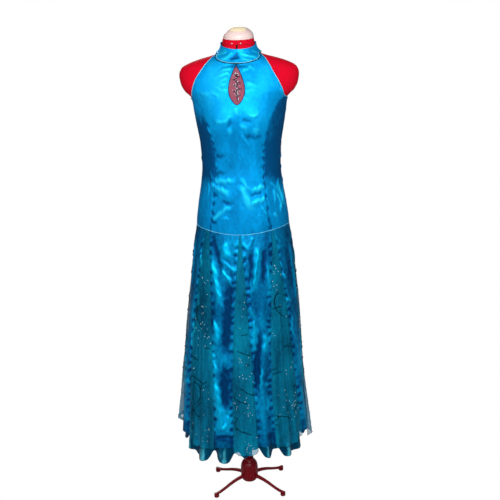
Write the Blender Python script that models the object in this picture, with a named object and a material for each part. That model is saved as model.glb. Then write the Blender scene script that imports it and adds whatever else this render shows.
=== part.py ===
"""Floor-length halter dress, worn on a limbless dress form on its stand.

The dress has a stand-up halter collar, a keyhole backed with net, princess seams,
a dropped hip seam and a skirt of satin gores and net godets over a longer satin
underskirt. Metres, +Z up, the front at -Y, the floor at z = 0 and the pole on the Z axis.
"""

from collections import namedtuple
from math import cos, pi, radians, sin, tan

import bmesh
import bpy
import numpy as np
from mathutils import Vector

# Cloth: the thickness of a layer, the gap at a seam, and how far the layers lie from the form.
WALL = 0.0012
INNER_WALL = 0.0010
SEAM_GAP = 0.0004
EDGE_CLEARANCE = 0.0001
EASE = 0.0030
INNER_EASE = 0.0009

# Horizontal sections of the dress form: half-width, and depth in front and behind.
FormSection = namedtuple("FormSection", "z half_width front back")
FORM_SECTIONS = (
    FormSection(0.925, 0.141, 0.094, 0.102),
    FormSection(0.945, 0.150, 0.102, 0.111),
    FormSection(1.000, 0.155, 0.105, 0.117),
    FormSection(1.055, 0.1555, 0.105, 0.117),
    FormSection(1.120, 0.148, 0.103, 0.110),
    FormSection(1.200, 0.1345, 0.098, 0.097),
    FormSection(1.260, 0.1285, 0.094, 0.089),
    FormSection(1.330, 0.1315, 0.098, 0.091),
    FormSection(1.400, 0.1420, 0.107, 0.098),
    FormSection(1.440, 0.1480, 0.109, 0.102),
    FormSection(1.475, 0.1530, 0.106, 0.105),
    FormSection(1.490, 0.1640, 0.103, 0.106),
    FormSection(1.505, 0.1800, 0.100, 0.106),
    FormSection(1.530, 0.1920, 0.093, 0.104),
    FormSection(1.556, 0.1955, 0.083, 0.100),
    FormSection(1.578, 0.1870, 0.073, 0.093),
    FormSection(1.593, 0.1610, 0.0655, 0.087),
    FormSection(1.605, 0.1260, 0.0605, 0.081),
    FormSection(1.620, 0.0740, 0.0560, 0.072),
    FormSection(1.640, 0.0560, 0.0520, 0.060),
    FormSection(1.668, 0.0500, 0.0500, 0.052),
)
BUST_X = 0.066
BUST_Z = 1.418
BUST_SPREAD = 0.054
BUST_RISE = 0.013
NECK_TILT = radians(7.5)
TILT_FROM = 1.642
NECK_TOP = 1.668

# Horizontal sections of the skirt's outer surface, before its folds.
SkirtSection = namedtuple("SkirtSection", "z half_width front back")
SKIRT_SECTIONS = (
    SkirtSection(1.062, 0.1591, 0.1088, 0.1206),
    SkirtSection(1.031, 0.1640, 0.1150, 0.1260),
    SkirtSection(0.994, 0.1710, 0.1220, 0.1320),
    SkirtSection(0.921, 0.1795, 0.1330, 0.1410),
    SkirtSection(0.808, 0.1925, 0.1450, 0.1510),
    SkirtSection(0.693, 0.2030, 0.1560, 0.1610),
    SkirtSection(0.574, 0.2120, 0.1680, 0.1720),
    SkirtSection(0.452, 0.2200, 0.1820, 0.1850),
    SkirtSection(0.327, 0.2300, 0.1960, 0.1980),
    SkirtSection(0.200, 0.2400, 0.2080, 0.2080),
)
SHARED_HEM = 0.300

# The skirt sways a little to one side as it goes down.
Sway = namedtuple("Sway", "z shift")
SWAYS = (
    Sway(0.200, -0.0015),
    Sway(0.330, -0.0020),
    Sway(0.470, -0.0070),
    Sway(0.610, -0.0060),
    Sway(0.800, -0.0030),
    Sway(0.950, -0.0010),
    Sway(1.062, 0.0),
)

# The underskirt hangs inside the skirt, by this much at a height.
Inset = namedtuple("Inset", "z distance")
UNDER_INSETS = (
    Inset(1.060, 0.0021),
    Inset(0.980, 0.0040),
    Inset(0.800, 0.0110),
    Inset(0.500, 0.0190),
    Inset(0.300, 0.0240),
    Inset(0.190, 0.0260),
)

# Seams of the bodice: half the angle between the halter's edges, and between the princess seams.
SeamPoint = namedtuple("SeamPoint", "z half_angle")
ARMHOLE_EDGE = (
    SeamPoint(1.6213, 77.0),
    SeamPoint(1.6150, 56.0),
    SeamPoint(1.6050, 42.5),
    SeamPoint(1.5930, 36.5),
    SeamPoint(1.5810, 35.0),
    SeamPoint(1.5690, 36.0),
    SeamPoint(1.5440, 41.5),
    SeamPoint(1.5180, 48.5),
    SeamPoint(1.5000, 56.0),
    SeamPoint(1.4900, 64.0),
)
PRINCESS_SEAM = (
    SeamPoint(1.4900, 64.0),
    SeamPoint(1.4530, 51.5),
    SeamPoint(1.4000, 42.0),
    SeamPoint(1.3500, 39.0),
    SeamPoint(1.2600, 37.5),
    SeamPoint(1.1700, 37.0),
    SeamPoint(1.1000, 37.5),
    SeamPoint(1.0480, 40.5),
)
UNDERARM_FRONT_Z = PRINCESS_SEAM[0].z

# The arc that a radian covers where a seam's gap is measured.
PRINCESS_ARC = 0.14
SIDE_ARC = 0.10
BACK_ARC = 0.14
COLLAR_ARC = 0.05
GORE_ARC = 0.13
UNDER_ARC = 0.12

FRONT_COLUMNS = 18
SIDE_COLUMNS = 5
BACK_COLUMNS = 7
ARMHOLE_ROWS = 9
ARMHOLE_CROWDING = 1.5
BODICE_ROWS = 15
BODICE_CROWDING = 1.3
UNDERARM_Z = 1.478
BACK_TOP_Z = 1.430
HIP_SIDE_Z = 1.0555
HIP_DIP = 0.0155
ZIP_HALF_WIDTH = 0.004

# The dress is turned a little on the form, and its front seam swings back at the hem.
Turn = namedtuple("Turn", "z degrees")
TURNS = (
    Turn(0.200, 1.5),
    Turn(0.500, 0.0),
    Turn(0.800, -3.2),
    Turn(1.050, -3.6),
    Turn(1.540, -3.6),
    Turn(1.620, -1.6),
    Turn(1.700, -1.6),
)

COLLAR_EDGE_GAP = 0.0003
COLLAR_COLUMNS = 60
BUTTON_RADIUS = 0.0055
BUTTON_HEIGHT = 0.0028
BUTTON_ANGLE = 172.0
BUTTON_HEIGHTS = (1.636, 1.648)

# The keyhole: a teardrop, pointed under the collar, widest below its middle and blunt at its foot.
KEYHOLE_TOP = 1.5865
KEYHOLE_BOTTOM = 1.4670
KEYHOLE_HALF_WIDTH = 0.0260
KEYHOLE_WIDEST = 1.45
KEYHOLE_FULLNESS = 0.62
KEYHOLE_POINTS = 14
KEYHOLE_TURN_Z = 1.580
INSERT_MARGIN = 0.0080
INSERT_TOP = 1.5885
INSERT_ARC = 0.150
INSERT_ROWS = 8
CUTTER_FRONT_Y = -0.20
CUTTER_BACK_Y = -0.03

# Godets: where each stands round the skirt, and its half-width at the hip and at the hem.
Godet = namedtuple("Godet", "name angle half_top half_hem hem")
GODETS = (
    Godet("front", 0.0, 0.0012, 0.043, 0.257),
    Godet("front_right", 42.5, 0.0020, 0.062, 0.262),
    Godet("side_right", 88.0, 0.0030, 0.055, 0.256),
    Godet("back_right", 134.0, 0.0030, 0.058, 0.258),
    Godet("back", 180.0, 0.0012, 0.046, 0.258),
    Godet("back_left", -134.0, 0.0030, 0.058, 0.258),
    Godet("side_left", -88.0, 0.0030, 0.055, 0.290),
    Godet("front_left", -44.5, 0.0080, 0.061, 0.262),
)
GODET_SPREAD = 1.6
GODET_SAG = 0.012
GORE_HEM = 0.288
GODET_COLUMNS = 5
GORE_COLUMNS = 7
SKIRT_ROWS = 9

# Folds: crests in the cloth, with the half-width that each covers and its depth at the hem.
Fold = namedtuple("Fold", "angle half_width depth start")
SKIRT_FOLDS = (
    Fold(-23.0, 13.0, 0.017, 0.95),
    Fold(-10.5, 6.0, 0.008, 0.70),
    Fold(-3.0, 5.0, 0.008, 0.60),
    Fold(6.0, 6.0, 0.008, 0.60),
    Fold(18.0, 7.0, 0.013, 0.90),
    Fold(29.0, 6.0, 0.010, 0.75),
    Fold(39.0, 6.0, 0.009, 0.60),
    Fold(50.0, 6.0, 0.008, 0.60),
    Fold(66.0, 12.0, 0.016, 0.95),
    Fold(86.0, 8.0, 0.010, 0.60),
    Fold(110.0, 13.0, 0.017, 0.95),
    Fold(134.0, 9.0, 0.010, 0.60),
    Fold(157.0, 13.0, 0.017, 0.95),
    Fold(180.0, 9.0, 0.010, 0.60),
    Fold(-157.0, 12.0, 0.016, 0.95),
    Fold(-134.0, 9.0, 0.010, 0.60),
    Fold(-111.0, 12.0, 0.016, 0.95),
    Fold(-88.0, 9.0, 0.018, 0.60),
    Fold(-67.0, 11.0, 0.014, 0.95),
    Fold(-49.0, 6.0, 0.009, 0.60),
    Fold(-39.0, 5.0, 0.008, 0.60),
)
UNDER_FOLDS = (
    Fold(-20.5, 10.5, 0.019, 0.75),
    Fold(-43.5, 11.5, 0.020, 0.75),
    Fold(-67.0, 10.0, 0.015, 0.65),
    Fold(-90.0, 11.0, 0.018, 0.75),
    Fold(-114.0, 11.0, 0.016, 0.65),
    Fold(-137.0, 11.5, 0.019, 0.75),
    Fold(-161.0, 11.0, 0.016, 0.65),
    Fold(176.0, 11.0, 0.018, 0.75),
    Fold(153.0, 11.0, 0.019, 0.75),
    Fold(129.0, 11.0, 0.015, 0.65),
    Fold(105.0, 11.5, 0.019, 0.75),
    Fold(83.0, 10.0, 0.016, 0.65),
    Fold(62.0, 9.0, 0.014, 0.75),
    Fold(43.5, 9.5, 0.020, 0.75),
    Fold(20.5, 8.0, 0.015, 0.65),
    Fold(0.0, 7.0, 0.008, 0.50),
)
UNDER_PANELS = 8
UNDER_COLUMNS = 9
UNDER_ROWS = 8
UNDER_HEM = 0.214
UNDER_NOTCH = 0.034
UNDER_NOTCH_DEPTH = 0.016
UNDER_TOP_DROP = 0.003
UNDER_FIRST_SEAM = 9.0

# The form's own parts under and over the dress.
RING_SEGMENTS = 32
EXTRA_RING_HEIGHTS = (1.160, 1.295, 1.365, 1.382, 1.420, 1.458, 1.498)
CAP_RADIUS = 0.0505
CAP_HEIGHT = 0.0355
CAP_CURVE = 2.2
CAP_SEGMENTS = 28
PAD_HALF_WIDTH = 0.024
PAD_FROM = 0.0245
PAD_BACK_Y = -0.0100
PAD_THICKNESS = 0.0012
PAD_GAP = 0.0007
POLE_RADIUS = 0.0125
POLE_BASE = 0.1163
HUB_RADIUS = 0.0330
LEG_ANGLES = (57.0, 123.0, -123.0, -57.0)
LEG_REACH = 0.150
LEG_END = 0.008
LEG_SIDES = 12
FOOT_RADIUS = 0.0095
FOOT_HEIGHT = 0.0090
FOOT_BEVEL = 0.0015
TOUCH_GAP = 0.0003

# The hub's outline, and a leg from the hub to its end, both as the real ones are turned and moulded.
Ring = namedtuple("Ring", "radius height")
HUB_OUTLINE = (
    Ring(0.0200, 0.0200),
    Ring(0.0270, 0.0230),
    Ring(0.0315, 0.0320),
    Ring(HUB_RADIUS, 0.0440),
    Ring(HUB_RADIUS, 0.0660),
    Ring(0.0315, 0.0850),
    Ring(0.0260, 0.0980),
    Ring(0.0180, 0.1080),
    Ring(0.0165, POLE_BASE - TOUCH_GAP),
)
LegSection = namedtuple("LegSection", "reach height half_height half_width")
LEG_SECTIONS = (
    LegSection(HUB_RADIUS + TOUCH_GAP, 0.0420, 0.0065, 0.0060),
    LegSection(0.055, 0.0390, 0.0058, 0.0056),
    LegSection(0.085, 0.0310, 0.0052, 0.0053),
    LegSection(0.112, 0.0210, 0.0046, 0.0050),
    LegSection(LEG_REACH - LEG_END, FOOT_HEIGHT + TOUCH_GAP + 0.0040, 0.0040, 0.0055),
    LegSection(LEG_REACH + LEG_END, FOOT_HEIGHT + TOUCH_GAP + 0.0036, 0.0036, 0.0055),
)

# Steps for the slopes of a surface, small beside any fold.
SLOPE_ANGLE = 1e-3
SLOPE_Z = 1e-4

SATIN = (0.0, 0.33, 0.62, 1.0)
NET = (0.0, 0.20, 0.26, 1.0)
FORM_RED = (0.72, 0.0, 0.02, 1.0)
STAND_RED = (0.16, 0.0, 0.004, 1.0)
CAP_PINK = (0.93, 0.78, 0.76, 1.0)
PAD_CREAM = (0.95, 0.83, 0.62, 1.0)
BUTTON_BLUE = (0.0, 0.30, 0.58, 1.0)


def clear_scene():
    """Remove the objects that the file starts with."""
    for found in list(bpy.data.objects):
        bpy.data.objects.remove(found, do_unlink=True)


def material(name, colour, roughness, metallic=0.0):
    """A plain Principled material."""
    made = bpy.data.materials.new(name)
    made.use_nodes = True
    shader = made.node_tree.nodes["Principled BSDF"]
    shader.inputs["Base Color"].default_value = colour
    shader.inputs["Roughness"].default_value = roughness
    shader.inputs["Metallic"].default_value = metallic
    return made


def column(table, field, at):
    """A column of a table read at heights between its rows, on a smooth curve with no overshoot."""
    rows = sorted(table)
    z = np.array([row[0] for row in rows])
    value = np.array([getattr(row, field) for row in rows])
    step = np.diff(z)
    slope = np.diff(value) / step
    tangent = np.zeros(len(z))
    tangent[0] = slope[0]
    tangent[-1] = slope[-1]
    for i in range(1, len(z) - 1):
        if slope[i - 1] * slope[i] > 0:
            before = 2 * step[i] + step[i - 1]
            after = step[i] + 2 * step[i - 1]
            tangent[i] = (before + after) / (before / slope[i - 1] + after / slope[i])
    at = np.clip(np.asarray(at, float), z[0], z[-1])
    i = np.clip(np.searchsorted(z, at, side="right") - 1, 0, len(z) - 2)
    t = (at - z[i]) / step[i]
    start = (1 + 2 * t) * (1 - t) ** 2 * value[i] + t * (1 - t) ** 2 * step[i] * tangent[i]
    end = t * t * (3 - 2 * t) * value[i + 1] + t * t * (t - 1) * step[i] * tangent[i + 1]
    return start + end


def smooth(t):
    """A soft step from 0 to 1."""
    t = np.clip(t, 0, 1)
    return t * t * (3 - 2 * t)


def oval(angle, half_width, front, back):
    """X and Y on an oval section: angle 0 is the front, and positive turns towards +X."""
    c = np.cos(angle)
    depth = np.where(c > 0, front, back)
    return half_width * np.sin(angle), -depth * c


def form_skin(angle, z):
    """Points on the dress form's surface."""
    x, y = oval(
        angle,
        column(FORM_SECTIONS, "half_width", z),
        column(FORM_SECTIONS, "front", z),
        column(FORM_SECTIONS, "back", z),
    )
    rise = np.exp(-(((np.abs(x) - BUST_X) / BUST_SPREAD) ** 2) - ((z - BUST_Z) / BUST_SPREAD) ** 2)
    y = y - BUST_RISE * rise * smooth(2 * np.cos(angle))
    tilted = z + y * tan(NECK_TILT) * smooth((z - TILT_FROM) / (NECK_TOP - TILT_FROM))
    return np.stack([x, y, tilted], axis=-1)


def fold_height(folds, degrees, z, hem):
    """How far the folds lift the cloth at an angle and a height."""
    total = np.zeros(np.broadcast(degrees, z).shape)
    for fold in folds:
        away = (degrees - fold.angle + 180.0) % 360.0 - 180.0
        shape = np.cos(np.clip(away / fold.half_width, -1, 1) * pi / 2) ** 2
        grown = np.clip((fold.start - z) / (fold.start - hem), 0, 1.15) ** 1.3
        total = total + fold.depth * shape * grown
    return total


def hanging(angle, z, lift):
    """Points on the skirt's sections, moved out by a lift and swayed to one side."""
    x, y = oval(
        angle,
        column(SKIRT_SECTIONS, "half_width", z) + lift,
        column(SKIRT_SECTIONS, "front", z) + lift,
        column(SKIRT_SECTIONS, "back", z) + lift,
    )
    return np.stack([x + column(SWAYS, "shift", z), y, z + 0 * x], axis=-1)


def skirt_skin(angle, z):
    """Points on the skirt's outer surface, folds and all."""
    return hanging(angle, z, fold_height(SKIRT_FOLDS, np.degrees(angle), z, SHARED_HEM))


def under_skin(angle, z):
    """Points on the underskirt's outer surface."""
    lift = fold_height(UNDER_FOLDS, np.degrees(angle), z, UNDER_HEM)
    return hanging(angle, z, lift - column(UNDER_INSETS, "distance", z))


def offset(skin, angle, z, out):
    """Points of a surface, moved out along its normals."""
    angle = np.asarray(angle, float)
    z = np.asarray(z, float)
    across = skin(angle + SLOPE_ANGLE, z) - skin(angle - SLOPE_ANGLE, z)
    up = skin(angle, z + SLOPE_Z) - skin(angle, z - SLOPE_Z)
    normal = np.cross(across, up)
    normal /= np.linalg.norm(normal, axis=-1, keepdims=True)
    return skin(angle, z) + normal * out


def turn(z):
    """How far the dress is turned at a height, in radians."""
    return np.radians(column(TURNS, "degrees", z))


def hip_seam(angle):
    """Height of the seam between bodice and skirt: a shallow V in front."""
    return HIP_SIDE_Z - HIP_DIP * np.clip(np.cos(angle), 0, 1) ** 3


def collar_bottom(angle):
    """Height of the seam at the collar's foot."""
    forward = np.clip(np.cos(angle), 0, 1)
    return 1.6215 - 0.0305 * forward**4 + 0.0075 * np.clip(-np.cos(angle), 0, 1)


def collar_top(angle):
    """Height of the collar's upper edge."""
    return 1.6550 - 0.021 * np.clip(np.cos(angle), 0, 1)


def new_object(name, mesh, finish):
    """Put a finished mesh in the scene as a named piece."""
    mesh.materials.append(finish)
    mesh.shade_smooth()
    mesh.set_sharp_from_angle(angle=radians(40))
    made = bpy.data.objects.new(name, mesh)
    bpy.context.scene.collection.objects.link(made)
    return made


def wall_mesh(name, outer, inner, closed=False):
    """A mesh between two grids of points (rows, columns), with its edges closed."""
    rows, columns = outer.shape[:2]
    points = np.concatenate([outer.reshape(-1, 3), inner.reshape(-1, 3)])
    behind = rows * columns
    faces = []
    last = columns if closed else columns - 1
    for r in range(rows - 1):
        for c in range(last):
            d = (c + 1) % columns
            a, b = r * columns + c, r * columns + d
            faces.append((a, b, b + columns, a + columns))
            faces.append((a + behind, a + columns + behind, b + columns + behind, b + behind))
    for c in range(last):
        d = (c + 1) % columns
        low = (rows - 1) * columns
        faces.append((c, c + behind, d + behind, d))
        faces.append((low + c, low + d, low + d + behind, low + c + behind))
    if not closed:
        for r in range(rows - 1):
            a, b = r * columns, (r + 1) * columns
            faces.append((a, b, b + behind, a + behind))
            a, b = a + columns - 1, b + columns - 1
            faces.append((a, a + behind, b + behind, b))
    mesh = bpy.data.meshes.new(name)
    mesh.from_pydata(points.tolist(), [], faces)
    mesh.update()
    face_outward(mesh)
    return mesh


def face_outward(mesh):
    """Turn the faces of a closed mesh outwards."""
    shape = bmesh.new()
    shape.from_mesh(mesh)
    bmesh.ops.recalc_face_normals(shape, faces=shape.faces)
    if shape.calc_volume(signed=True) < 0:
        bmesh.ops.reverse_faces(shape, faces=shape.faces)
    shape.to_mesh(mesh)
    shape.free()


def cloth(name, skin, angles, heights, outside, inside, finish):
    """A layer of cloth over a surface, at grids of angles and heights (rows, columns)."""
    outer = offset(skin, angles, heights, outside)
    inner = offset(skin, angles, heights, inside)
    return new_object(name, wall_mesh(name, outer, inner), finish)


def rings_mesh(name, rings):
    """A closed solid through rings of points, with a flat lid at each end."""
    mesh = bpy.data.meshes.new(name)
    count = rings.shape[1]
    faces = [tuple(range(count)), tuple((len(rings) - 1) * count + i for i in reversed(range(count)))]
    for r in range(len(rings) - 1):
        for i in range(count):
            j = (i + 1) % count
            a, b = r * count + i, r * count + j
            faces.append((a, a + count, b + count, b))
    mesh.from_pydata(rings.reshape(-1, 3).tolist(), [], faces)
    mesh.update()
    face_outward(mesh)
    return mesh


def turned_mesh(name, profile, segments):
    """A solid of revolution round Z from a profile of (radius, height), bottom to top."""
    angles = np.arange(segments) * 2 * pi / segments
    rings = [
        np.stack([r * np.sin(angles), -r * np.cos(angles), h + 0 * angles], axis=-1)
        for r, h in profile
    ]
    return rings_mesh(name, np.array(rings))


def build_torso(red):
    """The padded body of the form, from under the hips to the neck."""
    heights = [row.z for row in FORM_SECTIONS] + list(EXTRA_RING_HEIGHTS)
    angles = np.arange(RING_SEGMENTS) * 2 * pi / RING_SEGMENTS
    rings = [form_skin(angles, np.full(RING_SEGMENTS, z)) for z in sorted(heights)]
    return new_object("form_torso", rings_mesh("form_torso", np.array(rings)), red)


def cap_radius(height):
    """Radius of the neck cap's dome at a height over its rim."""
    return CAP_RADIUS * np.sqrt(np.clip(1 - (height / CAP_HEIGHT) ** CAP_CURVE, 0, 1))


def dome_point(x, y):
    """The point on the cap's dome over a place across and a place front to back."""
    return x, y, CAP_HEIGHT * (1 - (x * x + y * y) / CAP_RADIUS**2) ** (1 / CAP_CURVE)


def dome_normal(x, y, height):
    """The direction straight out of the cap's dome at a point on it."""
    up = CAP_CURVE / 2 * height ** (CAP_CURVE - 1) / CAP_HEIGHT**CAP_CURVE
    out = np.array([x / CAP_RADIUS**2, y / CAP_RADIUS**2, up])
    return out / np.linalg.norm(out)


def build_cap(pink, cream):
    """The domed neck cap, tilted with the neck, and the pad on its front."""
    heights = CAP_HEIGHT * np.sin(np.linspace(0, 0.47 * pi, 8))
    profile = [(CAP_RADIUS, 0.0)] + [(cap_radius(h), h) for h in heights[1:]]
    cap = new_object("form_neck_cap", turned_mesh("form_neck_cap", profile, CAP_SEGMENTS), pink)
    across = np.linspace(-PAD_HALF_WIDTH, PAD_HALF_WIDTH, 9)
    lower = -np.sqrt(cap_radius(PAD_FROM) ** 2 - across**2)
    upward = np.linspace(1, 0, 9)[:, None]
    depth = PAD_BACK_Y + (lower - PAD_BACK_Y) * upward
    grid = np.array([[dome_point(x, y) for x, y in zip(across, row)] for row in depth])
    normals = np.array([[dome_normal(*point) for point in row] for row in grid])
    layers = (grid + normals * (PAD_GAP + PAD_THICKNESS), grid + normals * PAD_GAP)
    pad = new_object("form_cap_pad", wall_mesh("form_cap_pad", *layers), cream)
    for piece in (cap, pad):
        piece.location.z = NECK_TOP + TOUCH_GAP / cos(NECK_TILT)
        piece.rotation_euler.x = NECK_TILT


def build_stand(red):
    """The pole, the moulded hub at its foot, four legs and their pads."""
    top = FORM_SECTIONS[0].z - TOUCH_GAP
    pole = turned_mesh("stand_pole", [(POLE_RADIUS, POLE_BASE), (POLE_RADIUS, top)], 16)
    new_object("stand_pole", pole, red)
    new_object("stand_hub", turned_mesh("stand_hub", HUB_OUTLINE, 24), red)
    for number, degrees in enumerate(LEG_ANGLES, start=1):
        build_leg(number, radians(degrees), red)


def build_leg(number, turned, red):
    """A leg from the hub to its foot, and the pad under it."""
    rings = []
    for section in LEG_SECTIONS:
        ring = []
        for i in range(LEG_SIDES):
            a = 2 * pi * i / LEG_SIDES
            across = section.half_width * np.sign(cos(a)) * abs(cos(a)) ** 0.6
            up = section.half_height * np.sign(sin(a)) * abs(sin(a)) ** 0.6
            ring.append((across, -section.reach, section.height + up))
        rings.append(ring)
    leg = new_object(f"stand_leg_{number}", rings_mesh(f"stand_leg_{number}", np.array(rings)), red)
    leg.rotation_euler.z = turned
    profile = (
        (FOOT_RADIUS, 0.0),
        (FOOT_RADIUS, FOOT_HEIGHT - FOOT_BEVEL),
        (FOOT_RADIUS - FOOT_BEVEL, FOOT_HEIGHT),
    )
    foot = new_object(f"stand_foot_{number}", turned_mesh(f"stand_foot_{number}", profile, 16), red)
    foot.location = (LEG_REACH * sin(turned), -LEG_REACH * cos(turned), 0.0)


def build_collar(satin, button_finish):
    """The stand-up collar, open at centre back, and its buttons."""
    gap = SEAM_GAP / COLLAR_ARC
    start = turn(1.64)
    angles = np.linspace(-pi + gap, pi - gap, COLLAR_COLUMNS + 1)
    share = np.linspace(0, 1, 4)[:, None]
    top = collar_top(angles)
    bottom = collar_bottom(angles) + COLLAR_EDGE_GAP
    heights = top + (bottom - top) * share
    spread = np.broadcast_to(angles + start, heights.shape)
    cloth("collar_band", form_skin, spread, heights, EASE + WALL, EASE, satin)
    for number, height in enumerate(BUTTON_HEIGHTS, start=1):
        angle = np.asarray(radians(BUTTON_ANGLE) + float(start))
        at = offset(form_skin, angle, np.asarray(height), EASE + WALL + TOUCH_GAP)
        out = at - offset(form_skin, angle, np.asarray(height), EASE)
        name = f"collar_button_{number}"
        profile = (
            (BUTTON_RADIUS * 0.8, 0.0),
            (BUTTON_RADIUS, 0.0008),
            (BUTTON_RADIUS * 0.9, BUTTON_HEIGHT * 0.75),
            (BUTTON_RADIUS * 0.4, BUTTON_HEIGHT),
        )
        button = new_object(name, turned_mesh(name, profile, 12), button_finish)
        button.location = at + out / np.linalg.norm(out) * TOUCH_GAP
        button.rotation_mode = "QUATERNION"
        button.rotation_quaternion = Vector(out).to_track_quat("Z", "Y")


def bodice_shares():
    """How far down each row of the bodice lies, crowded towards the bust."""
    return np.linspace(0, 1, BODICE_ROWS + 1) ** BODICE_CROWDING


def edge_rows():
    """Heights and half-angles down the front panel's edge: the halter, then the princess seam."""
    high_shares = np.linspace(0, 1, ARMHOLE_ROWS + 1) ** ARMHOLE_CROWDING
    high = ARMHOLE_EDGE[0].z + (UNDERARM_FRONT_Z - ARMHOLE_EDGE[0].z) * high_shares
    low = UNDERARM_FRONT_Z + (PRINCESS_SEAM[-1].z - UNDERARM_FRONT_Z) * bodice_shares()
    halter = column(ARMHOLE_EDGE, "half_angle", high)
    princess = column(PRINCESS_SEAM, "half_angle", low)
    return high, halter, low, princess


def build_front(satin):
    """The centre front panel, with the keyhole cut through it."""
    high, halter, low, princess = edge_rows()
    edge_z = np.concatenate([high, low[1:]])
    edge_angle = np.radians(np.concatenate([halter, princess[1:]]))
    across = np.linspace(-1, 1, FRONT_COLUMNS + 1)
    share = (edge_z[0] - edge_z) / (edge_z[0] - edge_z[-1])
    top_angle = across * edge_angle[0]
    top = collar_bottom(top_angle) - COLLAR_EDGE_GAP
    seam_shift = SEAM_GAP / 2 / PRINCESS_ARC
    angles = across * (edge_angle[:, None] - seam_shift)
    bottom = hip_seam(angles[-1]) + SEAM_GAP / 2 + EDGE_CLEARANCE
    heights = top + (bottom - top) * share[:, None]
    panel = cloth(
        "front_centre_panel",
        form_skin,
        angles + turn(heights),
        heights,
        EASE + WALL,
        EASE,
        satin,
    )
    cut_keyhole(panel)
    return panel


def keyhole_half_width(z):
    """Half the keyhole's width at a height, nothing above or below it."""
    down = np.clip((KEYHOLE_TOP - z) / (KEYHOLE_TOP - KEYHOLE_BOTTOM), 0, 1)
    bulge = np.clip(np.sin(pi * down**KEYHOLE_WIDEST), 0, 1)
    return KEYHOLE_HALF_WIDTH * bulge**KEYHOLE_FULLNESS


def keyhole_outline():
    """The keyhole seen from in front, as (x, z) points from its top round its right side."""
    down = (1 - np.cos(np.linspace(0, pi, KEYHOLE_POINTS))) / 2
    heights = KEYHOLE_TOP + (KEYHOLE_BOTTOM - KEYHOLE_TOP) * down
    halves = keyhole_half_width(heights)
    right = [(float(half), float(z)) for half, z in zip(halves, heights)]
    left = [(-x, z) for x, z in reversed(right[1:-1])]
    return right + left


def keyhole_centre_x():
    """Where the turned front's centre lies beside the axis."""
    return float(offset(form_skin, turn(KEYHOLE_TURN_Z), KEYHOLE_TURN_Z, EASE)[0])


def cut_keyhole(panel):
    """Cut the teardrop through the front panel."""
    outline = keyhole_outline()
    shift = keyhole_centre_x()
    mesh = bpy.data.meshes.new("keyhole_cutter")
    count = len(outline)
    near = [(x + shift, CUTTER_FRONT_Y, z) for x, z in outline]
    far = [(x + shift, CUTTER_BACK_Y, z) for x, z in outline]
    faces = [tuple(range(count)), tuple(reversed(range(count, 2 * count)))]
    for i in range(count):
        j = (i + 1) % count
        faces.append((i, i + count, j + count, j))
    mesh.from_pydata(near + far, [], faces)
    face_outward(mesh)
    cutter = bpy.data.objects.new("keyhole_cutter", mesh)
    bpy.context.scene.collection.objects.link(cutter)
    cutter.hide_render = True
    cutter.display_type = "WIRE"
    cut = panel.modifiers.new("keyhole", "BOOLEAN")
    cut.operation = "DIFFERENCE"
    cut.solver = "EXACT"
    cut.object = cutter


def build_insert(net):
    """The net behind the keyhole."""
    share = np.linspace(0, 1, INSERT_ROWS + 1)[:, None]
    heights = INSERT_TOP + (KEYHOLE_BOTTOM - INSERT_MARGIN - INSERT_TOP) * share
    reach = keyhole_half_width(heights) + INSERT_MARGIN
    angles = np.linspace(-1, 1, 6) * reach / INSERT_ARC
    heights = heights + 0 * angles
    cloth(
        "keyhole_insert",
        form_skin,
        angles + turn(heights),
        heights,
        INNER_EASE + INNER_WALL,
        INNER_EASE,
        net,
    )


def build_sides(satin):
    """The side front panels, between the princess seams and the side seams."""
    _, _, low, princess = edge_rows()
    share = (low[0] - low) / (low[0] - low[-1])
    shift = SEAM_GAP / 2 / PRINCESS_ARC
    side_shift = SEAM_GAP / 2 / SIDE_ARC
    inner_edge = np.radians(princess) + shift
    outer_edge = pi / 2 - side_shift
    across = np.linspace(0, 1, SIDE_COLUMNS + 1)
    angles = inner_edge[:, None] + (outer_edge - inner_edge[:, None]) * across
    top = low[0] + (UNDERARM_Z - low[0]) * across
    bottom = hip_seam(angles[-1]) + SEAM_GAP / 2 + EDGE_CLEARANCE
    heights = top + (bottom - top) * share[:, None]
    for name, side in (("side_front_left", -1), ("side_front_right", 1)):
        spread = side * angles + turn(heights)
        cloth(name, form_skin, spread, heights, EASE + WALL, EASE, satin)


def build_back(satin, zip_finish):
    """The two back panels, and the concealed zip between them."""
    side_shift = SEAM_GAP / 2 / SIDE_ARC
    share = bodice_shares()[:, None]
    across = np.linspace(0, 1, BACK_COLUMNS + 1)
    centre_edge = pi - (ZIP_HALF_WIDTH + SEAM_GAP) / BACK_ARC
    angles = pi / 2 + side_shift + (centre_edge - pi / 2 - side_shift) * across
    top = UNDERARM_Z + (BACK_TOP_Z - UNDERARM_Z) * smooth(across)
    bottom = hip_seam(angles) + SEAM_GAP / 2 + EDGE_CLEARANCE
    heights = top + (bottom - top) * share
    spread = np.broadcast_to(angles, heights.shape)
    for name, side in (("back_left", -1), ("back_right", 1)):
        cloth(name, form_skin, side * spread + turn(heights), heights, EASE + WALL, EASE, satin)
    half = ZIP_HALF_WIDTH / BACK_ARC
    angles = np.linspace(pi - half, pi + half, 3)
    heights = BACK_TOP_Z + (HIP_SIDE_Z + SEAM_GAP - BACK_TOP_Z) * share + 0 * angles
    spread = angles + turn(heights)
    cloth("back_zip", form_skin, spread, heights, EASE + WALL, EASE, zip_finish)


def skirt_radius(angle, z):
    """How much arc a small turn covers on the skirt, before its folds."""
    half_width = column(SKIRT_SECTIONS, "half_width", z)
    front = column(SKIRT_SECTIONS, "front", z)
    return np.hypot(half_width * np.cos(angle), front * np.sin(angle))


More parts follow.
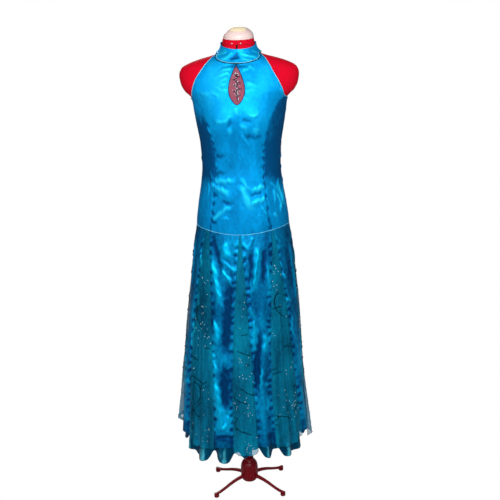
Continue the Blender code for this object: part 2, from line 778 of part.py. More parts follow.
def godet_edge(godet, z, side):
    """The angle of a godet's edge at a height: side is -1 or 1."""
    top = HIP_SIDE_Z
    left_over = np.clip((z - SHARED_HEM) / (top - SHARED_HEM), 0, 1)
    half = godet.half_hem + (godet.half_top - godet.half_hem) * left_over**GODET_SPREAD
    middle = radians(godet.angle) + turn(z)
    return middle + side * half / skirt_radius(middle, z)


def skirt_piece(name, left, right, hem, sag, columns, finish):
    """One piece of the skirt between two seams, each a function of height."""
    share = np.linspace(0, 1, columns + 1)
    middle_angle = left(1.05) + (right(1.05) - left(1.05)) * share
    top = hip_seam(middle_angle - turn(1.05)) - SEAM_GAP / 2 - EDGE_CLEARANCE
    steps = np.linspace(0, 1, SKIRT_ROWS + 1)[:, None]
    heights = top + (SHARED_HEM - top) * steps
    last = hem + sag * (2 * share - 1) ** 2
    heights = np.concatenate([heights, last[None, :]])
    gap = SEAM_GAP / 2 / GORE_ARC
    low = left(heights) + gap
    high = right(heights) - gap
    angles = low + (high - low) * share
    cloth(name, skirt_skin, angles, heights, 0.0, -WALL, finish)


def build_skirt(satin, net):
    """Eight satin gores and eight net godets, in turn."""
    count = len(GODETS)
    for i, godet in enumerate(GODETS):
        following = GODETS[(i + 1) % count]
        lap = 2 * pi if radians(following.angle) < radians(godet.angle) else 0.0
        skirt_piece(
            f"godet_{godet.name}",
            lambda z, g=godet: godet_edge(g, z, -1),
            lambda z, g=godet: godet_edge(g, z, 1),
            godet.hem,
            GODET_SAG,
            GODET_COLUMNS,
            net,
        )
        skirt_piece(
            f"gore_{i + 1}",
            lambda z, g=godet: godet_edge(g, z, 1),
            lambda z, g=following, more=lap: godet_edge(g, z, -1) + more,
            GORE_HEM,
            0.0,
            GORE_COLUMNS,
            satin,
        )


def build_underskirt(satin):
    """The longer satin skirt inside, in panels."""
    width = 2 * pi / UNDER_PANELS
    for i in range(UNDER_PANELS):
        first = radians(UNDER_FIRST_SEAM) + i * width
        gap = SEAM_GAP / 2 / UNDER_ARC
        angles = np.linspace(first + gap, first + width - gap, UNDER_COLUMNS + 1)
        top = hip_seam(angles) - UNDER_TOP_DROP
        steps = np.linspace(0, 1, UNDER_ROWS + 1)[:, None] ** 0.92
        fold = fold_height(UNDER_FOLDS, np.degrees(angles), UNDER_HEM, UNDER_HEM)
        hem = UNDER_HEM + UNDER_NOTCH * (1 - np.clip(fold / UNDER_NOTCH_DEPTH, 0, 1))
        heights = top + (hem - top) * steps
        spread = np.broadcast_to(angles, heights.shape)
        cloth(f"underskirt_{i + 1}", under_skin, spread, heights, 0.0, -INNER_WALL, satin)


def main():
    """Build every piece."""
    clear_scene()
    satin = material("satin", SATIN, 0.3)
    net = material("net", NET, 0.6)
    red = material("form_cover", FORM_RED, 0.7)
    stand = material("stand_plastic", STAND_RED, 0.35)
    build_torso(red)
    build_cap(material("cap", CAP_PINK, 0.4), material("pad", PAD_CREAM, 0.7))
    build_stand(stand)
    build_collar(satin, material("button", BUTTON_BLUE, 0.35))
    build_front(satin)
    build_insert(net)
    build_sides(satin)
    build_back(satin, material("zip", BUTTON_BLUE, 0.5))
    build_skirt(satin, net)
    build_underskirt(satin)


main()
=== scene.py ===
"""Floor-length halter dress on a limbless dress form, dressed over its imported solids.

Every cloth piece is a thin shell on the surface that its solid follows, with its creases,
puckers and seams laid in. Metres, +Z up, the front at -Y and the pole on the Z axis. Angle 0
is the front, and angles grow towards +X.
"""

import logging
from collections.abc import Callable, Sequence
from dataclasses import dataclass, replace
from enum import Enum
from math import asin, cos, pi, radians, sin, sqrt, tan

import bmesh
import bpy
import numpy as np
from mathutils import Matrix, Vector


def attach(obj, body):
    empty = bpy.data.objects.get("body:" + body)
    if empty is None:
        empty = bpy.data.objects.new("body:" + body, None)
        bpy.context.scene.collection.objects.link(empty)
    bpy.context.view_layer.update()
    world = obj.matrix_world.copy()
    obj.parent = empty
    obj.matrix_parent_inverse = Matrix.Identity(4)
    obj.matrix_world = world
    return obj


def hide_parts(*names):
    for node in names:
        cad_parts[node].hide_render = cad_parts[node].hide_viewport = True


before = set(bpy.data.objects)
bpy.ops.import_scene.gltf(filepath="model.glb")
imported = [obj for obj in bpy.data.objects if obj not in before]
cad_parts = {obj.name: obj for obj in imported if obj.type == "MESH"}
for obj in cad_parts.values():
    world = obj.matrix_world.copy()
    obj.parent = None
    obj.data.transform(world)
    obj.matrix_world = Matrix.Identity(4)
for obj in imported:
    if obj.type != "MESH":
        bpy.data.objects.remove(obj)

LOG = logging.getLogger("dress")
BODY = "root"

Skin = Callable[[np.ndarray, np.ndarray], np.ndarray]
Arc = Callable[[float], float]
Place = tuple[float, float]
Triple = tuple[float, float, float]

WALL = 0.0012
EASE = 0.0030
INNER_EASE = 0.0009
INNER_WALL = 0.0010
SHEET_THICKNESS = 0.0007
SLOPE_ANGLE = 1e-3
SLOPE_Z = 1e-4
NECK_TILT = radians(7.5)
TILT_FROM = 1.642
NECK_TOP = 1.668
SHARED_HEM = 0.300
CREASE_MARGIN = 12.0
# How far a crease strays from its drawn path, in metres up and in degrees across.
CREASE_WANDER = 0.0016
CREASE_WANDER_DEGREES = 0.5
# The waves that it strays in: their share, their turn for each degree and metre, and their start.
CREASE_WAVES = ((1.0, 0.21, 170.0, 0.0), (0.6, -0.37, 83.0, 1.3))
CREASE_SWINGS = ((1.0, 0.55, 47.0, 0.0), (0.6, 0.93, -61.0, 0.0))


class Held(Enum):
    """How a sheet of cloth is held."""

    HUNG = "hung"
    STRETCHED = "stretched"


class Side(Enum):
    """The wearer's side as the camera sees it."""

    LEFT = -1
    RIGHT = 1

    @property
    def word(self) -> str:
        """Return the side's name in lower case."""
        return self.name.lower()


@dataclass(frozen=True)
class Section:
    """A horizontal oval: half its width, and its depth in front and behind."""

    z: float
    half_width: float
    front: float
    back: float


@dataclass(frozen=True)
class Level:
    """One value of a seam, a turn or an inset at a height."""

    z: float
    value: float


@dataclass(frozen=True)
class Fold:
    """A hanging fold: its angle, the half-width it covers, its depth at the hem and its top."""

    angle: float
    half_width: float
    depth: float
    start: float


@dataclass(frozen=True)
class Godet:
    """A net godet: its angle, half-widths at the hip and hem, and its hem's height."""

    name: str
    angle: float
    half_top: float
    half_hem: float
    hem: float


def table(kind: type, *rows: tuple) -> tuple:
    """Return a table, whose rows have their values in the order of the kind's fields."""
    return tuple(kind(*row) for row in rows)


FORM_SECTIONS = table(
    Section,
    (0.925, 0.141, 0.094, 0.102), (0.945, 0.15, 0.102, 0.111), (1.0, 0.155, 0.105, 0.117),
    (1.055, 0.1555, 0.105, 0.117), (1.12, 0.148, 0.103, 0.11), (1.2, 0.1345, 0.098, 0.097),
    (1.26, 0.1285, 0.094, 0.089), (1.33, 0.1315, 0.098, 0.091), (1.4, 0.142, 0.107, 0.098),
    (1.44, 0.148, 0.109, 0.102), (1.475, 0.153, 0.106, 0.105), (1.49, 0.164, 0.103, 0.106),
    (1.505, 0.18, 0.1, 0.106), (1.53, 0.192, 0.093, 0.104), (1.556, 0.1955, 0.083, 0.1),
    (1.578, 0.187, 0.073, 0.093), (1.593, 0.161, 0.0655, 0.087), (1.605, 0.126, 0.0605, 0.081),
    (1.62, 0.074, 0.056, 0.072), (1.64, 0.056, 0.052, 0.06), (1.668, 0.05, 0.05, 0.052),
)
SKIRT_SECTIONS = table(
    Section,
    (1.062, 0.1591, 0.1088, 0.1206), (1.031, 0.164, 0.115, 0.126), (0.994, 0.171, 0.122, 0.132),
    (0.921, 0.1795, 0.133, 0.141), (0.808, 0.1925, 0.145, 0.151), (0.693, 0.203, 0.156, 0.161),
    (0.574, 0.212, 0.168, 0.172), (0.452, 0.22, 0.182, 0.185), (0.327, 0.23, 0.196, 0.198),
    (0.2, 0.24, 0.208, 0.208),
)
SWAYS = table(
    Level,
    (0.2, -0.011), (0.33, -0.0115), (0.47, -0.0125), (0.61, -0.009), (0.8, -0.003), (0.95, -0.001),
    (1.062, 0.0),
)
UNDER_INSETS = table(
    Level,
    (1.06, 0.0021), (0.98, 0.004), (0.8, 0.011), (0.5, 0.019), (0.3, 0.024), (0.19, 0.026),
)
TURNS = table(
    Level,
    (0.2, 1.5), (0.5, 0.0), (0.8, -3.2), (1.05, -3.6), (1.54, -3.6), (1.62, -1.6), (1.7, -1.6),
)
ARMHOLE_EDGE = table(
    Level,
    (1.6213, 77.0), (1.615, 56.0), (1.605, 42.5), (1.593, 36.5), (1.581, 35.0), (1.569, 36.0),
    (1.544, 41.5), (1.518, 48.5), (1.5, 56.0), (1.49, 64.0),
)
PRINCESS_SEAM = table(
    Level,
    (1.49, 64.0), (1.453, 51.5), (1.4, 42.0), (1.35, 39.0), (1.26, 37.5), (1.17, 37.0), (1.1, 37.5),
    (1.048, 40.5),
)
GODETS = table(
    Godet,
    ("front", 0.0, 0.0012, 0.043, 0.257),
    ("front_right", 42.5, 0.002, 0.062, 0.262),
    ("side_right", 88.0, 0.003, 0.055, 0.228),
    ("back_right", 134.0, 0.003, 0.058, 0.258),
    ("back", 180.0, 0.0012, 0.046, 0.258),
    ("back_left", -134.0, 0.003, 0.058, 0.258),
    ("side_left", -88.0, 0.003, 0.055, 0.312),
    ("front_left", -44.5, 0.008, 0.061, 0.262),
)
SKIRT_FOLDS = table(
    Fold,
    (-23.0, 13.0, 0.017, 0.95), (-10.5, 6.0, 0.008, 0.7), (-3.0, 5.0, 0.008, 0.6),
    (6.0, 6.0, 0.008, 0.6), (18.0, 7.0, 0.013, 0.9), (29.0, 6.0, 0.01, 0.75),
    (39.0, 6.0, 0.009, 0.6), (50.0, 6.0, 0.008, 0.6), (66.0, 12.0, 0.016, 0.95),
    (86.0, 8.0, 0.01, 0.6), (110.0, 13.0, 0.017, 0.95), (134.0, 9.0, 0.01, 0.6),
    (157.0, 13.0, 0.017, 0.95), (180.0, 9.0, 0.01, 0.6), (-157.0, 12.0, 0.016, 0.95),
    (-134.0, 9.0, 0.01, 0.6), (-111.0, 12.0, 0.016, 0.95), (-88.0, 9.0, 0.018, 0.6),
    (-67.0, 11.0, 0.014, 0.95), (-49.0, 6.0, 0.009, 0.6), (-39.0, 5.0, 0.008, 0.6),
)
UNDER_FOLDS = table(
    Fold,
    (-20.5, 10.5, 0.019, 0.75), (-43.5, 11.5, 0.02, 0.75), (-67.0, 10.0, 0.015, 0.65),
    (-90.0, 11.0, 0.018, 0.75), (-114.0, 11.0, 0.016, 0.65), (-137.0, 11.5, 0.019, 0.75),
    (-161.0, 11.0, 0.016, 0.65), (176.0, 11.0, 0.018, 0.75), (153.0, 11.0, 0.019, 0.75),
    (129.0, 11.0, 0.015, 0.65), (105.0, 11.5, 0.019, 0.75), (83.0, 10.0, 0.016, 0.65),
    (62.0, 9.0, 0.014, 0.75), (43.5, 9.5, 0.02, 0.75), (20.5, 8.0, 0.015, 0.65),
    (0.0, 7.0, 0.008, 0.5),
)
BUST_X = 0.066
BUST_Z = 1.418
BUST_SPREAD = 0.054
BUST_RISE = 0.013
HIP_SIDE_Z = 1.0555
HIP_DIP = 0.0155
COLLAR_FOOT_Z = 1.6215
COLLAR_FOOT_DIP = 0.0305
COLLAR_FOOT_RISE = 0.0075
COLLAR_TOP_Z = 1.6550
COLLAR_TOP_DIP = 0.021
GODET_SPREAD = 1.6
UNDER_HEM = 0.214
UNDER_NOTCH = 0.034
UNDER_NOTCH_DEPTH = 0.014
# Where the hem's notches are filled or its lobes raised: angle, width, share left and lift.
HEM_CHANGES = (
    (-55.0, 8.0, 0.10, -0.010),
    (-45.0, 9.0, 1.0, -0.012),
    (54.0, 8.0, 0.10, -0.006),
    (3.0, 9.0, 1.0, 0.016),
    (15.0, 4.0, 1.0, 0.014),
    (20.5, 6.0, 1.0, 0.014),
    (84.0, 9.0, 1.0, 0.030),
)
KEYHOLE_TOP = 1.5865
KEYHOLE_BOTTOM = 1.4670
KEYHOLE_HALF_WIDTH = 0.0260
KEYHOLE_WIDEST = 1.45
KEYHOLE_FULLNESS = 0.62
KEYHOLE_TURN_Z = 1.580
# The sprig on the keyhole's net: its stem, and each twig's height, side and reach.
SPRIG_STEM = ((0.002, 1.478), (-0.001, 1.500), (0.002, 1.522), (-0.001, 1.545), (0.003, 1.562))
SPRIG_TWIGS = (
    (1.490, 1, 0.012),
    (1.500, -1, 0.011),
    (1.508, 1, 0.016),
    (1.518, -1, 0.012),
    (1.526, 1, 0.015),
    (1.536, -1, 0.012),
    (1.545, 1, 0.011),
    (1.552, -1, 0.009),
)


def column(rows: Sequence, field: str, at: np.ndarray | float) -> np.ndarray:
    """Read a column of a table between its rows, on a smooth curve with no overshoot.

    Args:
        rows: Rows that each have a height z.
        field: The name of the column.
        at: Heights to read it at.

    Returns:
        The values at those heights.
    """
    rows = sorted(rows, key=lambda row: row.z)
    z = np.array([row.z for row in rows])
    value = np.array([getattr(row, field) for row in rows])
    step = np.diff(z)
    slope = np.diff(value) / step
    tangent = np.zeros(len(z))
    tangent[0] = slope[0]
    tangent[-1] = slope[-1]
    for i in range(1, len(z) - 1):
        if slope[i - 1] * slope[i] > 0:
            before = 2 * step[i] + step[i - 1]
            after = step[i] + 2 * step[i - 1]
            tangent[i] = (before + after) / (before / slope[i - 1] + after / slope[i])
    at = np.clip(np.asarray(at, float), z[0], z[-1])
    i = np.clip(np.searchsorted(z, at, side="right") - 1, 0, len(z) - 2)
    t = (at - z[i]) / step[i]
    start = (1 + 2 * t) * (1 - t) ** 2 * value[i] + t * (1 - t) ** 2 * step[i] * tangent[i]
    end = t * t * (3 - 2 * t) * value[i + 1] + t * t * (t - 1) * step[i] * tangent[i + 1]
    return start + end


def smooth(t: np.ndarray | float) -> np.ndarray:
    """Return a soft step from 0 to 1."""
    t = np.clip(t, 0, 1)
    return t * t * (3 - 2 * t)


def ridge(away: np.ndarray, width: float) -> np.ndarray:
    """Return a soft ridge, which is 1 at no distance and 0 from a width on."""
    return np.cos(np.clip(away / width, 0, 1) * pi / 2) ** 2


def wrapped(degrees: np.ndarray | float) -> np.ndarray | float:
    """Return angles in degrees between -180 and 180."""
    return (degrees + 180.0) % 360.0 - 180.0


def oval(
    sections: Sequence[Section], angle: np.ndarray, z: np.ndarray, lift: np.ndarray | float = 0.0
) -> tuple[np.ndarray, np.ndarray]:
    """Find the places of points on oval sections.

    Args:
        sections: The sections.
        angle: Angles in radians.
        z: Heights.
        lift: How far out of the sections the points are.

    Returns:
        The points' X and Y.
    """
    across, front, back = (column(sections, name, z) + lift for name in ("half_width", "front", "back"))
    c = np.cos(angle)
    return across * np.sin(angle), -np.where(c > 0, front, back) * c


def form_skin(angle: np.ndarray, z: np.ndarray) -> np.ndarray:
    """Find points on the dress form.

    Args:
        angle: Angles in radians.
        z: Heights.

    Returns:
        The points, with X, Y and Z last.
    """
    x, y = oval(FORM_SECTIONS, angle, z)
    rise = np.exp(-(((np.abs(x) - BUST_X) / BUST_SPREAD) ** 2) - ((z - BUST_Z) / BUST_SPREAD) ** 2)
    y = y - BUST_RISE * rise * smooth(2 * np.cos(angle))
    tilted = z + y * tan(NECK_TILT) * smooth((z - TILT_FROM) / (NECK_TOP - TILT_FROM))
    return np.stack([x, y, tilted], axis=-1)


def fold_height(folds: Sequence[Fold], degrees: np.ndarray, z: np.ndarray, hem: float) -> np.ndarray:
    """Find how far hanging folds lift the cloth.

    Args:
        folds: The folds.
        degrees: Angles in degrees.
        z: Heights.
        hem: The height at which the folds have their depth.

    Returns:
        The lift at each place.
    """
    total = np.zeros(np.broadcast(degrees, z).shape)
    for fold in folds:
        shape = ridge(np.abs(wrapped(degrees - fold.angle)), fold.half_width)
        grown = np.clip((fold.start - z) / (fold.start - hem), 0, 1.15) ** 1.3
        total = total + fold.depth * shape * grown
    return total


def hanging(angle: np.ndarray, z: np.ndarray, lift: np.ndarray) -> np.ndarray:
    """Return points on the skirt's swaying sections, moved out by a lift."""
    x, y = oval(SKIRT_SECTIONS, angle, z, lift)
    return np.stack([x + column(SWAYS, "value", z), y, z + 0 * x], axis=-1)


def skirt_skin(angle: np.ndarray, z: np.ndarray) -> np.ndarray:
    """Return points on the skirt's outer surface, with its hanging folds."""
    return hanging(angle, z, fold_height(SKIRT_FOLDS, np.degrees(angle), z, SHARED_HEM))


def under_skin(angle: np.ndarray, z: np.ndarray) -> np.ndarray:
    """Return points on the underskirt's outer surface, with its hanging folds."""
    lift = fold_height(UNDER_FOLDS, np.degrees(angle), z, UNDER_HEM)
    return hanging(angle, z, lift - column(UNDER_INSETS, "value", z))


def offset(skin: Skin, angle: np.ndarray, z: np.ndarray, out: np.ndarray | float) -> np.ndarray:
    """Find points of a surface, moved out along its normals.

    Args:
        skin: The surface.
        angle: Angles in radians.
        z: Heights.
        out: How far out, as one number or one for each point.

    Returns:
        The moved points.
    """
    angle = np.asarray(angle, float)
    z = np.asarray(z, float)
    across = skin(angle + SLOPE_ANGLE, z) - skin(angle - SLOPE_ANGLE, z)
    up = skin(angle, z + SLOPE_Z) - skin(angle, z - SLOPE_Z)
    normal = np.cross(across, up)
    normal /= np.linalg.norm(normal, axis=-1, keepdims=True)
    return skin(angle, z) + normal * np.asarray(out, float)[..., None]


def turn(z: np.ndarray | float) -> np.ndarray:
    """Return how far the dress is turned on the form at a height, in radians."""
    return np.radians(column(TURNS, "value", z))


def on_dress(angle: np.ndarray | float, z: np.ndarray, out: np.ndarray | float = 0.0) -> np.ndarray:
    """Return points on the bodice's outer face, by their angles before the dress's turn."""
    return offset(form_skin, angle + turn(z), z, EASE + WALL + out)


def hip_seam(angle: np.ndarray | float) -> np.ndarray:
    """Return the height of the seam between bodice and skirt."""
    return HIP_SIDE_Z - HIP_DIP * np.clip(np.cos(angle), 0, 1) ** 3


def collar_bottom(angle: np.ndarray | float) -> np.ndarray:
    """Return the height of the seam at the collar's foot."""
    dip = COLLAR_FOOT_DIP * np.clip(np.cos(angle), 0, 1) ** 4
    return COLLAR_FOOT_Z - dip + COLLAR_FOOT_RISE * np.clip(-np.cos(angle), 0, 1)


def collar_top(angle: np.ndarray | float) -> np.ndarray:
    """Return the height of the collar's upper edge."""
    return COLLAR_TOP_Z - COLLAR_TOP_DIP * np.clip(np.cos(angle), 0, 1)


def keyhole_half_width(z: np.ndarray | float) -> np.ndarray:
    """Find the keyhole's width at a height.

    Args:
        z: The height.

    Returns:
        Half its width, which is nothing above and below it.
    """
    down = np.clip((KEYHOLE_TOP - z) / (KEYHOLE_TOP - KEYHOLE_BOTTOM), 0, 1)
    bulge = np.clip(np.sin(pi * down**KEYHOLE_WIDEST), 0, 1)
    return KEYHOLE_HALF_WIDTH * bulge**KEYHOLE_FULLNESS


def keyhole_shift() -> float:
    """Return where the turned front's centre lies beside the axis."""
    return float(offset(form_skin, turn(KEYHOLE_TURN_Z), np.asarray(KEYHOLE_TURN_Z), EASE)[0])


def keyhole_outline(count: int, margin: float = 0.0) -> list[Place]:
    """Draw the keyhole as it is seen from in front.

    Args:
        count: How many points each of its sides has.
        margin: How far outside the cut the line runs.

    Returns:
        Places across and up, from its top round its right side.
    """
    down = (1 - np.cos(np.linspace(0, pi, count))) / 2
    heights = KEYHOLE_TOP + (KEYHOLE_BOTTOM - KEYHOLE_TOP) * down
    right = list(zip(keyhole_half_width(heights), heights))
    left = [(-x, z) for x, z in reversed(right[1:-1])]
    centre = (KEYHOLE_TOP + KEYHOLE_BOTTOM) / 2
    grow_x = 1 + margin / KEYHOLE_HALF_WIDTH
    grow_z = 1 + 2 * margin / (KEYHOLE_TOP - KEYHOLE_BOTTOM)
    return [(x * grow_x, centre + (z - centre) * grow_z) for x, z in right + left]


def on_front(x: float, z: float, out: float) -> np.ndarray:
    """Return the point a little out of the form's front that lies straight behind a place."""
    half_width = float(column(FORM_SECTIONS, "half_width", z)) + out
    return offset(form_skin, np.asarray(asin(x / half_width)), np.asarray(z), out)


def skirt_radius(angle: np.ndarray, z: np.ndarray) -> np.ndarray:
    """Find how wide the skirt is round the axis.

    Args:
        angle: Where round the skirt.
        z: The height.

    Returns:
        How much arc a small turn covers, before the skirt's folds.
    """
    half_width = column(SKIRT_SECTIONS, "half_width", z)
    front = column(SKIRT_SECTIONS, "front", z)
    return np.hypot(half_width * np.cos(angle), front * np.sin(angle))


def godet_edge(godet: Godet, z: np.ndarray, side: Side) -> np.ndarray:
    """Find the angle of a godet's seam.

    Args:
        godet: The godet.
        z: Heights.
        side: Which of its two seams.

    Returns:
        The seam's angle at each height, in radians.
    """
    left_over = np.clip((z - SHARED_HEM) / (HIP_SIDE_Z - SHARED_HEM), 0, 1)
    half = godet.half_hem + (godet.half_top - godet.half_hem) * left_over**GODET_SPREAD
    middle = radians(godet.angle) + turn(z)
    return middle + side.value * half / skirt_radius(middle, z)


def bodice_arc(z: float) -> float:
    """Return how much arc a radian covers on the front of the bodice."""
    return float(column(FORM_SECTIONS, "half_width", z))


def skirt_arc(z: float) -> float:
    """Return how much arc a radian covers on the front of the skirt."""
    return float(column(SKIRT_SECTIONS, "half_width", z))


@dataclass(frozen=True)
class Crease:
    """A ridge in cloth, or a hollow where its rise is below 0, along a path of (degrees, height)."""

    path: tuple[Place, ...]
    half_width: float
    rise: float
    start_fade: float = 0.3
    end_fade: float = 0.3

    def moved(self, degrees: float, mirrored: bool = False) -> "Crease":
        """Return the same crease at another angle, mirrored about angle 0 first where it says so."""
        sign = -1 if mirrored else 1
        return replace(self, path=tuple((sign * a + degrees, z) for a, z in self.path))

    def relief(self, degrees: np.ndarray, z: np.ndarray, radius: float) -> np.ndarray:
        """Find how far the crease moves the cloth out.

        Args:
            degrees: Angles in degrees, before the dress's turn.
            z: Heights.
            radius: How much arc a radian covers there.

        Returns:
            The rise at each place.
        """
        found = np.zeros(degrees.shape)
        first = self.path[0][0]
        spots = [(radians(a - first) * radius, height) for a, height in self.path]
        reach = self.half_width
        across = np.radians(wrapped(degrees - first)) * radius
        xs, zs = zip(*spots)
        near = (across > min(xs) - reach) & (across < max(xs) + reach)
        near &= (z > min(zs) - reach) & (z < max(zs) + reach)
        if not near.any():
            return found
        u = across[near]
        v = z[near]
        lengths = [sqrt((b[0] - a[0]) ** 2 + (b[1] - a[1]) ** 2) for a, b in zip(spots, spots[1:])]
        whole = sum(lengths)
        best = np.full(u.shape, np.inf)
        along = np.zeros(u.shape)
        done = 0.0
        for (x0, z0), (x1, z1), length in zip(spots, spots[1:], lengths):
            dx, dz = x1 - x0, z1 - z0
            t = np.clip(((u - x0) * dx + (v - z0) * dz) / (length * length), 0, 1)
            away = np.hypot(u - x0 - t * dx, v - z0 - t * dz)
            closer = away < best
            best = np.where(closer, away, best)
            along = np.where(closer, (done + t * length) / whole, along)
            done += length
        fade = np.ones(u.shape)
        if self.start_fade > 0:
            fade *= smooth(along / self.start_fade)
        if self.end_fade > 0:
            fade *= smooth((1 - along) / self.end_fade)
        found[near] = self.rise * ridge(best, reach) * fade
        return found


def stray(waves: Sequence[tuple], degrees: np.ndarray, z: np.ndarray) -> np.ndarray:
    """Return the sum of slow waves over the cloth."""
    return sum(w * np.sin(by_degree * degrees + by_metre * z + at) for w, by_degree, by_metre, at in waves)


def total_relief(
    creases: Sequence[Crease], degrees: np.ndarray, z: np.ndarray, arc: Arc
) -> np.ndarray:
    """Add up what a set of creases does to a piece of cloth.

    Args:
        creases: The creases.
        degrees: Angles in degrees, before the dress's turn.
        z: Heights.
        arc: How much arc a radian covers at a height.

    Returns:
        The rise at each place.
    """
    wave = stray(CREASE_WAVES, degrees, z)
    swing = stray(CREASE_SWINGS, degrees, z)
    degrees = degrees + CREASE_WANDER_DEGREES * wave
    z = z + CREASE_WANDER * swing
    total = np.zeros(degrees.shape)
    centre = (degrees.min() + degrees.max()) / 2
    half_range = (degrees.max() - degrees.min()) / 2
    for crease in creases:
        heights = [height for _, height in crease.path]
        if min(heights) - crease.half_width > z.max() or max(heights) + crease.half_width < z.min():
            continue
        first = crease.path[0][0]
        extent = max(abs(a - first) for a, _ in crease.path) + CREASE_MARGIN
        if abs(wrapped(first - centre)) > half_range + extent:
            continue
        total += crease.relief(degrees, z, arc(sum(heights) / len(heights)))
    return total


@dataclass(frozen=True)
class Gathers:
    """Short uneven ridges that run off a seam, with hollows between them.

    They have a usual pitch, reach and rise, and they climb by the lean for each metre of reach.
    """

    pitch: float
    reach: float
    rise: float
    lean: float

    def along(self, edge: Arc, side: Side, heights: Place, seed: int, arc: Arc) -> list[Crease]:
        """Gather a seam.

        Args:
            edge: The seam's angle in degrees at a height.
            side: The side of the seam that the ridges lie on.
            heights: The seam's top and bottom.
            seed: The seed of their unevenness.
            arc: How much arc a radian covers at a height.

        Returns:
            The ridges and the hollows.
        """
        rng = np.random.default_rng(seed)
        pitch = self.pitch
        made = []
        z = heights[0] - pitch * rng.uniform(0.3, 0.8)
        while z > heights[1]:
            far = self.reach * rng.uniform(0.45, 1.3)
            high = self.rise * rng.uniform(0.45, 1.25)
            start = edge(z)
            degrees = np.degrees(far / arc(z)) * side.value
            tip = z + far * self.lean * rng.uniform(0.4, 1.5)
            width = pitch * rng.uniform(0.34, 0.5)
            made.append(Crease(((start, z), (start + degrees, tip)), width, 0.4 * high, 0.0, 0.75))
            gap = z - pitch * 0.5
            gap_path = ((edge(gap), gap), (edge(gap) + degrees * 0.8, gap + (tip - z) * 0.8))
            made.append(Crease(gap_path, pitch * rng.uniform(0.3, 0.42), -high, 0.0, 0.6))
            z -= pitch * rng.uniform(0.75, 1.35)
        return made


# The gathers beside the princess seams, above and below the waist and outside them.
PRINCESS_GATHERS = table(
    Gathers,
    (0.026, 0.02, 0.0012, 0.15),
    (0.034, 0.016, 0.0012, 0.1),
    (0.03, 0.01, 0.0008, -0.2),
)
SIDE_GATHERS = Gathers(0.026, 0.016, 0.0007, 0.2)
ZIP_GATHERS = Gathers(0.034, 0.02, 0.0009, 0.1)
